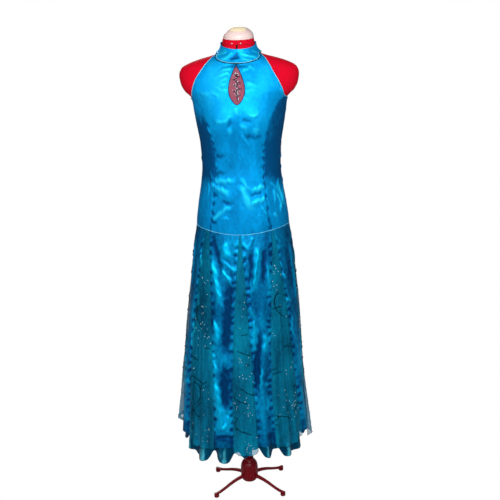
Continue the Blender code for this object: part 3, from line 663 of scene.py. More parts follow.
# A crease's row has its path, half-width and rise, and its fades where they differ from 0.3.
BODICE_CREASES = table(
    Crease,
    # Waist, left of the middle: three lobes that run in from the princess seam.
    (((-38, 1.244), (-13, 1.247)), 0.01, -0.002, 0.15, 0.5),
    (((-38, 1.219), (-20, 1.22), (-4, 1.219)), 0.0125, 0.0036, 0.05),
    (((-37, 1.206), (-17, 1.196)), 0.009, -0.002, 0.1, 0.5),
    (((-46, 1.21), (-33, 1.2), (-20, 1.183), (-9, 1.163)), 0.0135, 0.004, 0.1),
    (((-37, 1.172), (-27, 1.163)), 0.007, -0.0018, 0.1, 0.5),
    (((-27, 1.153), (-15, 1.146), (-6, 1.139)), 0.011, -0.002, 0.3, 0.4),
    (((-37, 1.087), (-27, 1.108), (-17, 1.13), (-5, 1.13)), 0.012, 0.0038, 0.1),
    (((-37, 1.075), (-27, 1.086)), 0.008, -0.002, 0.1, 0.4),
    (((-24, 1.098), (-11, 1.09)), 0.009, 0.0022, 0.3, 0.4),
    (((-34.5, 1.3), (-15, 1.303)), 0.01, -0.002, 0.1, 0.6),
    # Waist, right of the middle: two long slanting ridges and the lobes that meet them.
    (((1.5, 1.232), (9, 1.206), (18, 1.179)), 0.01, 0.0026, 0.3, 0.35),
    (((1.5, 1.215), (9, 1.16), (19, 1.106)), 0.017, 0.0036, 0.25),
    (((15, 1.182), (26, 1.192), (38, 1.199)), 0.011, 0.0034, 0.3, 0.05),
    (((13, 1.17), (34, 1.181)), 0.008, -0.002, 0.3, 0.15),
    (((14, 1.144), (25, 1.151), (37, 1.158)), 0.011, 0.0034, 0.3, 0.05),
    (((28, 1.137), (37, 1.1)), 0.006, 0.0018),
    (((23, 1.108), (27, 1.098)), 0.005, 0.0014),
    # Under the bust.
    (((-31, 1.424), (-22, 1.413), (-14, 1.42), (-4, 1.438)), 0.008, 0.0024, 0.2),
    (((-14, 1.397), (-5, 1.421)), 0.011, -0.002),
    (((12, 1.44), (22, 1.43), (29, 1.444)), 0.008, 0.0022),
    (((4, 1.423), (20, 1.411)), 0.01, -0.002),
    (((2, 1.402), (16, 1.392)), 0.01, 0.0022, 0.3, 0.4),
    (((-15, 1.383), (-4, 1.387)), 0.013, 0.0026, 0.4, 0.4),
    (((19, 1.387), (31, 1.384)), 0.012, 0.0022, 0.4, 0.4),
    (((6, 1.372), (24, 1.362), (38, 1.366)), 0.011, -0.0018, 0.3, 0.2),
    (((4, 1.378), (11, 1.352), (18, 1.33)), 0.007, 0.0022, 0.3, 0.4),
    (((-1, 1.464), (0.5, 1.42)), 0.014, 0.0022, 0.2, 0.4),
    # The tight gathers beside the top of the keyhole, and the drag lines below them.
    (((-0.5, 1.589), (-9, 1.583), (-17, 1.571)), 0.008, -0.00128, 0.0, 0.5),
    (((0.5, 1.59), (6, 1.585), (13, 1.574)), 0.008, -0.00144, 0.0, 0.5),
    (((-4.5, 1.579), (-10, 1.574), (-19, 1.563)), 0.0081, 0.00176, 0.1, 0.5),
    (((-5, 1.566), (-12, 1.56), (-21, 1.551)), 0.0081, 0.0016, 0.1, 0.5),
    (((-7, 1.548), (-18, 1.54)), 0.00945, 0.00128, 0.2, 0.5),
    (((-8, 1.53), (-20, 1.536)), 0.00945, 0.00144, 0.15, 0.5),
    (((-9, 1.512), (-15, 1.516), (-24, 1.528)), 0.00945, 0.0016, 0.15, 0.5),
    (((-18, 1.494), (-29, 1.512)), 0.0108, 0.00144, 0.3, 0.4),
    (((5, 1.573), (16, 1.576)), 0.0081, 0.0016, 0.1, 0.5),
    (((11, 1.587), (20, 1.573)), 0.0081, 0.00144, 0.3, 0.4),
    (((9, 1.536), (15, 1.528), (24, 1.524)), 0.00945, 0.0016, 0.15, 0.5),
    (((8, 1.509), (22, 1.512)), 0.00945, 0.00096, 0.2, 0.5),
    (((6, 1.488), (20, 1.486)), 0.0108, 0.00096, 0.2, 0.5),
    (((-40, 1.5), (-26, 1.502)), 0.0135, 0.00144, 0.2, 0.5),
    (((46, 1.512), (60, 1.5)), 0.00945, 0.0016, 0.3, 0.1),
    # Slack over the hips, and at the sides and back of the waist.
    (((51, 1.19), (53, 1.16), (50, 1.128)), 0.008, 0.0034, 0.2),
    (((57, 1.178), (63, 1.13), (60, 1.09)), 0.009, 0.004, 0.2),
    (((64, 1.206), (68, 1.16), (73, 1.112)), 0.009, 0.004, 0.2),
    (((47, 1.108), (52, 1.084)), 0.007, 0.003, 0.2),
    (((-43, 1.402), (-39, 1.366)), 0.005, 0.0024, 0.2),
    (((-56, 1.425), (-54, 1.396)), 0.006, 0.0016, 0.2),
    (((70, 1.222), (60, 1.192), (69, 1.148), (58, 1.1)), 0.009, 0.0028, 0.2),
    (((47, 1.214), (56, 1.19), (54, 1.15)), 0.009, 0.0022, 0.2, 0.4),
    (((84, 1.2), (74, 1.15), (80, 1.1)), 0.01, 0.0024),
    (((-52, 1.215), (-48, 1.18), (-51, 1.14)), 0.008, 0.0022, 0.2, 0.4),
    (((-48, 1.256), (-44, 1.232), (-40, 1.216)), 0.006, 0.0018, 0.2, 0.2),
    (((-86, 1.29), (-70, 1.27), (-58, 1.272)), 0.01, 0.0022, 0.1, 0.5),
    (((88, 1.3), (72, 1.282), (62, 1.284)), 0.01, 0.0022, 0.1, 0.5),
    (((93, 1.29), (112, 1.27), (132, 1.276)), 0.011, 0.003, 0.1, 0.5),
    (((93, 1.25), (115, 1.236), (140, 1.246)), 0.012, 0.0032, 0.1, 0.4),
    (((93, 1.2), (110, 1.206), (128, 1.192)), 0.01, 0.0024, 0.1, 0.5),
    (((-93, 1.296), (-114, 1.28), (-136, 1.284)), 0.011, 0.003, 0.1, 0.5),
    (((-93, 1.24), (-112, 1.226), (-134, 1.232)), 0.012, 0.0032, 0.1, 0.4),
    (((-93, 1.19), (-108, 1.176), (-124, 1.182)), 0.01, 0.0022, 0.1, 0.5),
    (((176, 1.262), (158, 1.252), (144, 1.26)), 0.009, 0.0024, 0.05, 0.5),
    (((-176, 1.244), (-160, 1.256), (-146, 1.25)), 0.009, 0.0024, 0.05, 0.5),
    (((176, 1.13), (162, 1.15), (150, 1.19)), 0.01, 0.0022, 0.1, 0.5),
    (((-176, 1.12), (-164, 1.146), (-152, 1.18)), 0.01, 0.0022, 0.1, 0.5),
)
CENTRE_LEFT_CREASES = table(
    Crease,
    (((-37, 1.036), (-31, 1.004), (-25.5, 0.958), (-21, 0.9)), 0.011, -0.003, 0.1, 0.4),
    (((-22, 1.022), (-17, 0.985), (-13, 0.948)), 0.02, 0.0036, 0.3, 0.4),
    (((-24, 0.96), (-15, 0.94), (-5, 0.918)), 0.008, 0.003, 0.3, 0.2),
    (((-22, 0.932), (-14, 0.895), (-6.5, 0.86)), 0.008, 0.0036, 0.25),
    (((-35, 0.968), (-29, 0.898), (-22, 0.815), (-17.5, 0.782)), 0.013, 0.005, 0.2, 0.35),
    (((-13, 0.9), (-12, 0.82), (-14, 0.72), (-16, 0.6)), 0.015, -0.0042, 0.2, 0.2),
    (((-30, 0.756), (-24.5, 0.708), (-27, 0.655)), 0.012, 0.0046, 0.25),
    (((-30, 0.64), (-26, 0.575), (-28, 0.54)), 0.011, 0.0042, 0.2),
    (((-28, 0.545), (-24.5, 0.494), (-22.5, 0.44), (-19, 0.352)), 0.013, 0.006, 0.2, 0.05),
    (((-19, 0.35), (-15.5, 0.378), (-12.5, 0.425)), 0.011, 0.005, 0.05, 0.4),
    (((-17, 0.61), (-17.5, 0.52), (-17.5, 0.42)), 0.014, -0.005, 0.3, 0.2),
    (((-27, 0.325), (-10, 0.325)), 0.012, -0.0025),
)
CENTRE_RIGHT_CREASES = table(
    Crease,
    (((6, 1.008), (10, 0.99), (13, 0.985)), 0.012, 0.0024, 0.1, 0.5),
    (((21.5, 1.004), (18, 0.945), (15, 0.885), (9.5, 0.822)), 0.011, 0.0052, 0.15),
    (((13, 0.992), (12, 0.92), (11, 0.85)), 0.008, -0.0034, 0.2),
    (((28, 0.992), (26, 0.925), (24.5, 0.865)), 0.009, -0.0034, 0.2),
    (((30, 0.945), (31, 0.9), (32, 0.862)), 0.008, 0.0032),
    (((8, 0.795), (13, 0.762), (20, 0.736)), 0.009, 0.0034, 0.1, 0.4),
    (((13.5, 0.758), (12.5, 0.69), (11, 0.625)), 0.009, 0.0044, 0.2, 0.35),
    (((20.5, 0.73), (18.5, 0.676), (13.5, 0.59), (12.5, 0.44)), 0.011, -0.0046, 0.2),
    (((25, 0.704), (23, 0.662), (21.5, 0.622)), 0.013, 0.0044),
    (((18.5, 0.58), (15, 0.492), (12.5, 0.458)), 0.008, 0.004, 0.2),
    (((22.5, 0.524), (21.5, 0.505)), 0.009, 0.0036, 0.4, 0.4),
    (((23.5, 0.48), (21, 0.405)), 0.008, 0.003),
    (((9.8, 1.0), (13, 1.018), (16.5, 1.034)), 0.006, 0.0022, 0.2, 0.1),
)
OUTER_CREASES = table(
    Crease,
    (((-54, 0.985), (-52, 0.95), (-50, 0.915)), 0.007, 0.0036),
    (((-53, 0.835), (-52, 0.8), (-51, 0.765)), 0.008, 0.0034),
    (((-60, 0.725), (-56.5, 0.69), (-60, 0.655), (-56.5, 0.612)), 0.007, 0.003, 0.2, 0.2),
    (((-66, 0.505), (-63, 0.48)), 0.014, 0.004, 0.4, 0.4),
    (((-72, 1.02), (-70, 0.9), (-72, 0.78)), 0.01, 0.0034, 0.2, 0.4),
    (((-76, 0.7), (-72, 0.56), (-74, 0.42)), 0.012, 0.004),
    (((50, 0.9), (55, 0.865)), 0.008, 0.0038, 0.2, 0.4),
    (((51, 0.8), (57, 0.798), (63, 0.79)), 0.009, 0.0036, 0.2, 0.4),
    (((57, 0.755), (61, 0.726), (58, 0.696), (61.5, 0.66), (60, 0.62)), 0.007, 0.003),
    (((70, 1.01), (72, 0.88), (70, 0.74)), 0.011, 0.0038, 0.2, 0.4),
    (((76, 0.7), (73, 0.56), (75, 0.42)), 0.012, 0.004),
)
COLLAR_CREASES = table(
    Crease,
    (((-11, 1.612), (2, 1.604)), 0.012, -0.0022),
    (((-3, 1.628), (-1, 1.6)), 0.01, -0.0016, 0.2),
    (((8, 1.622), (22, 1.612), (34, 1.606)), 0.007, 0.002, 0.2),
    (((6, 1.604), (20, 1.6)), 0.006, 0.0014, 0.2),
    (((-16, 1.626), (-20, 1.6)), 0.008, 0.002, 0.2, 0.2),
    (((-34, 1.632), (-44, 1.608)), 0.01, 0.002, 0.2, 0.2),
    (((40, 1.63), (52, 1.616)), 0.008, 0.0018, 0.2),
    (((-70, 1.64), (-82, 1.62)), 0.01, 0.0008, 0.2),
    (((76, 1.636), (92, 1.622)), 0.01, 0.0008, 0.2),
    (((-150, 1.655), (-140, 1.63)), 0.009, 0.0016, 0.2),
    (((146, 1.654), (132, 1.63)), 0.009, 0.0016, 0.2),
)


def grid_normals(points: np.ndarray) -> np.ndarray:
    """Return the outward unit normals of a grid whose rows go down and columns go towards +X."""
    normal = np.cross(np.gradient(points, axis=0), np.gradient(points, axis=1))
    return normal / np.maximum(np.linalg.norm(normal, axis=-1, keepdims=True), 1e-12)


def grid_faces(rows: int, columns: int, closed: bool = False) -> np.ndarray:
    """List a grid's quads, wound so that they face outwards.

    Args:
        rows: How many rows of points there are.
        columns: How many points there are in a row.
        closed: Whether the last column joins the first.

    Returns:
        Four point indices for each quad.
    """
    last = columns if closed else columns - 1
    r, c = np.meshgrid(np.arange(rows - 1), np.arange(last), indexing="ij")
    a = r * columns + c
    b = r * columns + (c + 1) % columns
    return np.stack([a, a + columns, b + columns, b], axis=-1).reshape(-1, 4)


def rim_faces(rows: int, columns: int) -> list[tuple[int, ...]]:
    """List the quads that join two layers of a grid round their edges.

    Args:
        rows: How many rows of points a layer has.
        columns: How many points there are in a row.

    Returns:
        The quads.
    """
    behind = rows * columns
    low = (rows - 1) * columns
    faces = []
    for c in range(columns - 1):
        d = c + 1
        faces.append((c, d, d + behind, c + behind))
        faces.append((low + c, low + c + behind, low + d + behind, low + d))
    for r in range(rows - 1):
        a, b = r * columns, (r + 1) * columns
        faces.append((a, a + behind, b + behind, b))
        a, b = a + columns - 1, b + columns - 1
        faces.append((a, b, b + behind, a + behind))
    return faces


def grid_lengths(points: np.ndarray) -> tuple[np.ndarray, np.ndarray]:
    """Measure a grid along its rows and columns, which is where its fabric's threads lie.

    Args:
        points: The grid.

    Returns:
        The distance across from the middle column and down from the top, at each point.
    """
    steps = np.linalg.norm(np.diff(points, axis=1), axis=-1)
    across = np.concatenate([np.zeros((len(points), 1)), np.cumsum(steps, axis=1)], axis=1)
    across = across - across[:, across.shape[1] // 2][:, None]
    drops = np.linalg.norm(np.diff(points, axis=0), axis=-1)
    down = np.concatenate([np.zeros((1, points.shape[1])), np.cumsum(drops, axis=0)], axis=0)
    return across, down


def chain(count: int, first: int = 0, loop: bool = False) -> list[tuple[int, int]]:
    """Return the edges that join points in a row, and the last to the first in a loop."""
    edges = [(first + i, first + i + 1) for i in range(count - 1)]
    return edges + [(first + count - 1, first)] if loop else edges


def new_mesh(
    name: str,
    points: np.ndarray,
    faces: Sequence,
    uv: np.ndarray | None = None,
    tone: np.ndarray | None = None,
) -> bpy.types.Mesh:
    """Make a smooth mesh, with its fabric's UV map in metres and a map of painted shade and highlight.

    Args:
        name: The mesh's name.
        points: Its points.
        faces: Its faces.
        uv: A place on the fabric for each point, or None.
        tone: The painted light at each point, from 0 for painted shade in a hollow to 1 for a painted
            highlight on a crest, or None.

    Returns:
        The mesh.
    """
    mesh = bpy.data.meshes.new(name)
    mesh.from_pydata(points.tolist(), [], [tuple(int(i) for i in face) for face in faces])
    mesh.update()
    mesh.shade_smooth()
    corners = np.empty(len(mesh.loops), np.int32)
    mesh.loops.foreach_get("vertex_index", corners)
    if uv is not None:
        mesh.uv_layers.new(name="fabric").data.foreach_set("uv", uv[corners].ravel())
    # The painted shade and highlight ride in a second UV map, which the satin and net are coloured by.
    if tone is not None:
        pairs = np.stack([tone[corners], np.zeros(len(corners))], axis=-1)
        mesh.uv_layers.new(name="tone").data.foreach_set("uv", pairs.ravel())
    return mesh


def linked(name: str, data: bpy.types.ID) -> bpy.types.Object:
    """Put a new object in the scene.

    Args:
        name: Its name.
        data: Its mesh, light or camera.

    Returns:
        The object.
    """
    made = bpy.data.objects.new(name, data)
    bpy.context.scene.collection.objects.link(made)
    return made


def add_piece(
    name: str, mesh: bpy.types.Mesh, finish: bpy.types.Material, node: str = ""
) -> bpy.types.Object:
    """Put a mesh in the scene as a piece that rides on the dress form.

    Args:
        name: The piece's name.
        mesh: Its mesh.
        finish: Its material.
        node: The solid that it stands for, if any.

    Returns:
        The piece.
    """
    mesh.materials.clear()
    mesh.materials.append(finish)
    piece = linked(name, mesh)
    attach(piece, BODY)
    if node:
        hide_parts(node)
    return piece


def baked(piece: bpy.types.Object) -> bpy.types.Mesh:
    """Return an object's mesh with its modifiers applied."""
    graph = bpy.context.evaluated_depsgraph_get()
    return bpy.data.meshes.new_from_object(piece.evaluated_get(graph))


def turn_outwards(mesh: bpy.types.Mesh) -> None:
    """Point the faces of a closed mesh outwards.

    Args:
        mesh: The mesh.
    """
    shape = bmesh.new()
    shape.from_mesh(mesh)
    bmesh.ops.recalc_face_normals(shape, faces=shape.faces)
    if shape.calc_volume(signed=True) < 0:
        bmesh.ops.reverse_faces(shape, faces=shape.faces)
    shape.to_mesh(mesh)
    shape.free()


def cloth_mesh(
    name: str,
    outer: np.ndarray,
    tone: np.ndarray | None = None,
    thickness: float | None = SHEET_THICKNESS,
) -> bpy.types.Mesh:
    """Make cloth whose outer face is a grid, as a closed shell or as a net of one layer.

    Args:
        name: The mesh's name.
        outer: The grid of its outer face.
        tone: The painted light at each point, from painted shade in a hollow to a painted highlight on a
            crest, or None for all alike.
        thickness: The cloth's thickness, or None for one layer.

    Returns:
        The mesh.
    """
    rows, columns = outer.shape[:2]
    across, down = grid_lengths(outer)
    uv = np.stack([across, -down], axis=-1).reshape(-1, 2)
    one = np.full(rows * columns, 0.5) if tone is None else tone.ravel()
    front = grid_faces(rows, columns)
    if thickness is None:
        return new_mesh(name, outer.reshape(-1, 3), front, uv, one)
    inner = outer - grid_normals(outer) * thickness
    points = np.concatenate([outer.reshape(-1, 3), inner.reshape(-1, 3)])
    behind = (front + rows * columns)[:, ::-1]
    faces = [*front, *behind, *rim_faces(rows, columns)]
    mesh = new_mesh(name, points, faces, np.concatenate([uv, uv]), np.concatenate([one, one]))
    mesh.set_sharp_from_angle(angle=radians(60))
    return mesh


def solid_mesh(name: str, rings: np.ndarray) -> bpy.types.Mesh:
    """Make a closed solid through rings of points that go down, with a lid at each end.

    Args:
        name: The mesh's name.
        rings: The rings.

    Returns:
        The mesh.
    """
    rows, columns = rings.shape[:2]
    low = (rows - 1) * columns
    faces = list(grid_faces(rows, columns, True))
    faces.append(tuple(range(columns)))
    faces.append(tuple(low + i for i in reversed(range(columns))))
    mesh = new_mesh(name, rings.reshape(-1, 3), faces)
    turn_outwards(mesh)
    mesh.set_sharp_from_angle(angle=radians(45))
    return mesh


def turned_rings(profile: Sequence[Place], segments: int) -> np.ndarray:
    """Return rings round the Z axis along a profile of (radius, height), from top to bottom."""
    a = np.arange(segments) * 2 * pi / segments
    return np.array([np.stack([r * np.sin(a), -r * np.cos(a), h + 0 * a], axis=-1) for r, h in profile])


def faced(rings: np.ndarray, at: np.ndarray, out: np.ndarray) -> np.ndarray:
    """Return rings that stood on the Z axis, set on a place and turned to face a direction."""
    return rings @ np.array(Vector(out).to_track_quat("Z", "Y").to_matrix()).T + at


def fill(tree: bpy.types.NodeTree, node: bpy.types.Node, **values: object) -> bpy.types.Node:
    """Fill in a node.

    Args:
        tree: The node's tree.
        node: The node.
        values: Numbers or outputs for its inputs, with underscores for spaces, or its properties.

    Returns:
        The node.
    """
    for key, value in values.items():
        socket = node.inputs.get(key.replace("_", " "))
        if socket is None:
            setattr(node, key, value)
        elif isinstance(value, bpy.types.NodeSocket):
            tree.links.new(value, socket)
        else:
            socket.default_value = value
    return node


def seen_apart(
    tree: bpy.types.NodeTree, lit: bpy.types.NodeSocket, seen: bpy.types.NodeSocket, end: bpy.types.Node
) -> None:
    """Show the camera another shader than the one that lights the dress.

    Args:
        tree: The stage's node tree.
        lit: The shader that lights the dress.
        seen: The shader that is seen.
        end: The tree's output.
    """
    rays = tree.nodes.new("ShaderNodeLightPath")
    mix = tree.nodes.new("ShaderNodeMixShader")
    for source, target in zip((rays.outputs["Is Camera Ray"], lit, seen), mix.inputs):
        tree.links.new(source, target)
    tree.links.new(mix.outputs["Shader"], end.inputs["Surface"])


class Nodes:
    """Builds the node tree of one material."""

    def __init__(self, name: str) -> None:
        """Start a material with its Principled shader.

        Args:
            name: The material's name.
        """
        self.material = bpy.data.materials.new(name)
        self.material.use_nodes = True
        self.tree = self.material.node_tree
        self.shader = self.tree.nodes["Principled BSDF"]

    def add(self, kind: str, **values: object) -> bpy.types.Node:
        """Return a new shader node, filled in."""
        return fill(self.tree, self.tree.nodes.new("ShaderNode" + kind), **values)

    def set(self, **values: object) -> None:
        """Fill in the shader."""
        fill(self.tree, self.shader, **values)

    def math(self, operation: str, *values: bpy.types.NodeSocket) -> bpy.types.NodeSocket:
        """Work out a sum on outputs.

        Args:
            operation: The sum.
            values: The outputs that it takes.

        Returns:
            The result.
        """
        node = self.add("Math", operation=operation)
        for socket, value in zip(node.inputs, values):
            self.tree.links.new(value, socket)
        return node.outputs[0]

    def mapped(self, source: str, scale: Triple = (1.0, 1.0, 1.0)) -> bpy.types.NodeSocket:
        """Return the object's coordinates (Object) or the fabric's (UV), scaled."""
        place = self.add("TexCoord").outputs[source]
        return self.add("Mapping", Vector=place, Scale=scale).outputs["Vector"]

    def noise(self, vector: bpy.types.NodeSocket, scale: float, detail: float) -> bpy.types.NodeSocket:
        """Return a noise."""
        node = self.add("TexNoise", Vector=vector, Scale=scale, Detail=detail, Roughness=0.55)
        return node.outputs["Fac"]

    def spread(self, value: bpy.types.NodeSocket, low: float, high: float) -> bpy.types.NodeSocket:
        """Return a noise with its usual range mapped to another."""
        node = self.add("MapRange", Value=value, From_Min=0.3, From_Max=0.7, To_Min=low, To_Max=high)
        return node.outputs["Result"]

    def folds(self, cloud: float) -> bpy.types.NodeSocket:
        """Read the painted light that the cloth's folds give it.

        Args:
            cloud: How far a cloudy unevenness moves it.

        Returns:
            The painted light, from 0 for painted shade in a hollow to 1 for a painted highlight on a crest.
        """
        # The map paints shade into hollows and light onto crests; the noise added to it is a real cloudy
        # unevenness.
        layer = self.add("UVMap", uv_map="tone").outputs["UV"]
        tone = self.add("SeparateXYZ", Vector=layer).outputs["X"]
        wide = self.noise(self.mapped("Object", (1.0, 1.0, 0.4)), 15.0, 3.0)
        fine = self.noise(self.mapped("Object", (1.0, 1.0, 0.7)), 110.0, 4.0)
        tone = self.math("ADD", tone, self.spread(wide, -cloud, cloud))
        return self.math("ADD", tone, self.spread(fine, -0.45 * cloud, 0.45 * cloud))

    def tones(self, value: bpy.types.NodeSocket, stops: Sequence[tuple[float, Triple]]) -> None:
        """Colour the shader by a value.

        Args:
            value: The value.
            stops: Places from 0 to 1, each with its colour.
        """
        ramp = self.add("ValToRGB", Fac=value)
        found = ramp.color_ramp.elements
        while len(found) < len(stops):
            found.new(0.5)
        for element, (place, colour) in zip(found, stops):
            element.position = place
            element.color = (*colour, 1.0)
        self.set(Base_Color=ramp.outputs["Color"])

    def bump(self, *heights: tuple[bpy.types.NodeSocket, float, float]) -> None:
        """Roughen the shader.

        Args:
            heights: The values to roughen it by, each with its strength and its depth in metres.
        """
        normal = None
        for value, strength, depth in heights:
            node = self.add("Bump", Height=value, Strength=strength, Distance=depth)
            if normal is not None:
                fill(self.tree, node, Normal=normal)
            normal = node.outputs["Normal"]
        self.set(Normal=normal)


@dataclass(frozen=True)
class Weave:
    """What satin and net share: the painted highlight on their crests, their own colour on the flats and the
    painted shade in their hollows.
    """

    name: str
    crest_highlight: Triple
    colour: Triple
    deep: Triple

    def start(self, cloud: float) -> Nodes:
        """Start a material that its folds colour with painted shade and highlight.

        Args:
            cloud: How uneven the colour is.

        Returns:
            The material's nodes.
        """
        nodes = Nodes(self.name)
        # The folds paint the crest colour on as a highlight and the deep colour into the hollows as shade.
        nodes.tones(nodes.folds(cloud), ((0.1, self.deep), (0.5, self.colour), (0.9, self.crest_highlight)))
        nodes.set(Specular_IOR_Level=0.06)
        return nodes


@dataclass(frozen=True)
class Satin(Weave):
    """Closely woven satin: how metallic its sheen is, its grain and its soft crumple."""

    metallic: float = 0.80
    roughness: float = 0.46
    anisotropy: float = 0.3
    grain: float = 0.14
    crumple: float = 0.0020
    cloud: float = 0.14

    def build(self) -> bpy.types.Material:
        """Build the satin.

        Returns:
            Its material.
        """
        nodes = self.start(self.cloud)
        streak = nodes.noise(nodes.mapped("UV", (1.0, 0.16, 1.0)), 1500.0, 2.0)
        fleck = nodes.noise(nodes.mapped("Object"), 900.0, 3.0)
        wide = nodes.noise(nodes.mapped("Object", (1.0, 1.0, 0.55)), 13.0, 1.0)
        crumple = nodes.noise(nodes.mapped("Object", (1.0, 1.0, 0.7)), 44.0, 2.0)
        nodes.set(Roughness=nodes.spread(fleck, self.roughness - 0.05, self.roughness + 0.07))
        nodes.set(Metallic=self.metallic, Anisotropic=self.anisotropy)
        nodes.bump(
            (wide, 0.5, self.crumple * 2.0),
            (crumple, 0.45, self.crumple),
            (fleck, self.grain, 0.0004),
            (streak, 0.12, 0.0002),
        )
        return nodes.material


@dataclass(frozen=True)
class Net(Weave):
    """Fine see-through net: how much of it is thread, and how far its threads are apart."""

    cover: float = 0.62
    pitch: float = 0.0016
    cloud: float = 0.25

    def build(self) -> bpy.types.Material:
        """Build the net.

        Returns:
            Its material.
        """
        nodes = self.start(self.cloud)
        scale = 1.0 / self.pitch / 20.0 * 2.0 * pi
        waves = []
        for direction in ("X", "Y"):
            wave = nodes.add("TexWave", Scale=scale, Vector=nodes.mapped("UV"), bands_direction=direction)
            waves.append(wave.outputs["Fac"])
        threads = nodes.math("MAXIMUM", *waves)
        nodes.set(Alpha=nodes.spread(threads, self.cover - 0.10, self.cover + 0.12), Roughness=0.7)
        nodes.bump((threads, 0.2, 0.0003))
        return nodes.material


@dataclass(frozen=True)
class Plain:
    """A finish of one colour with its own grain, such as felt, plastic or thread."""

    name: str
    colour: Triple
    deep: Triple
    roughness: float = 0.5
    metallic: float = 0.0
    coat: float = 0.0
    grain_scale: float = 700.0
    grain: float = 0.2
    specular: float = 0.4

    def build(self) -> bpy.types.Material:
        """Build the finish.

        Returns:
            Its material.
        """
        nodes = Nodes(self.name)
        body = nodes.mapped("Object")
        nodes.tones(nodes.noise(body, 16.0, 4.0), ((0.25, self.deep), (0.75, self.colour)))
        grain = nodes.noise(body, self.grain_scale, 3.0)
        nodes.set(Roughness=nodes.spread(grain, self.roughness - 0.04, self.roughness + 0.06))
        nodes.set(Metallic=self.metallic, Coat_Weight=self.coat, Coat_Roughness=0.12)
        nodes.set(Specular_IOR_Level=self.specular)
        nodes.bump((grain, self.grain, 0.0004))
        return nodes.material


class Finishes:
    """Every material of the dress and its form, built once."""

    def __init__(self) -> None:
        """Build the materials."""
        # Each satin and net gives its painted highlight for the crests, its own colour, and its painted
        # shade for the hollows.
        self.satin = Satin(
            "bodice_satin", (0.01, 0.56, 0.92), (0.0, 0.350, 0.800), (0.0, 0.090, 0.270), 0.50, 0.54
        ).build()
        self.skirt_satin = Satin(
            "skirt_satin",
            (0.0, 0.420, 0.760),
            (0.0, 0.195, 0.450),
            (0.0, 0.045, 0.160),
            0.58,
            0.50,
            crumple=0.0030,
            cloud=0.32,
        ).build()
        self.under_satin = Satin(
            "underskirt_satin", (0.10, 0.700, 0.900), (0.0, 0.120, 0.230), (0.0, 0.060, 0.140), 0.7, 0.34
        ).build()
        self.net = Net("godet_net", (0.0, 0.330, 0.520), (0.0, 0.185, 0.330), (0.0, 0.060, 0.130)).build()
        self.insert_net = Net(
            "keyhole_net", (0.34, 0.20, 0.28), (0.30, 0.12, 0.18), (0.2, 0.1, 0.14), 0.55
        ).build()
        self.felt = Plain(
            "form_felt",
            (0.72, 0.0, 0.020),
            (0.60, 0.0, 0.014),
            0.85,
            grain_scale=1100.0,
            grain=0.3,
            specular=0.12,
        ).build()
        self.stand = Plain(
            "stand_plastic", (0.190, 0.0, 0.006), (0.14, 0.0, 0.004), 0.35, coat=0.1, grain=0.1, specular=0.2
        ).build()
        # Dark thread, which also draws the painted shadow under the collar's front.
        self.thread = Plain(
            "dark_thread_and_shadow", (0.0, 0.030, 0.045), (0.0, 0.015, 0.028), 0.8, grain=0.1, specular=0.05
        ).build()
        self.cap = Plain("cap_plastic", (0.86, 0.66, 0.63), (0.82, 0.62, 0.59), 0.35, coat=0.2).build()
        self.pad = Plain("pad_foam", (0.97, 0.84, 0.58), (0.93, 0.79, 0.53), 0.8).build()
        self.button = Plain("button_plastic", (0.0, 0.33, 0.6), (0.0, 0.28, 0.5), 0.25, 0.2, 0.5).build()
        self.piping = Plain("edge_satin", (0.24, 0.72, 0.88), (0.12, 0.60, 0.82), 0.45, 0.1).build()
        self.glitter = Plain("glitter", (0.90, 1.0, 1.0), (0.75, 0.95, 1.0), 0.25).build()
        self.rivet = Plain("rivet_metal", (0.75, 0.70, 0.70), (0.6, 0.55, 0.55), 0.25, 0.8).build()
        # Near black: the dark lines of the form's seams, and the painted shade inside the neck's slot.
        self.shadow = Plain("seam_dark_and_slot_shade", (0.015, 0.0, 0.001), (0.01, 0.0, 0.0), 0.9).build()


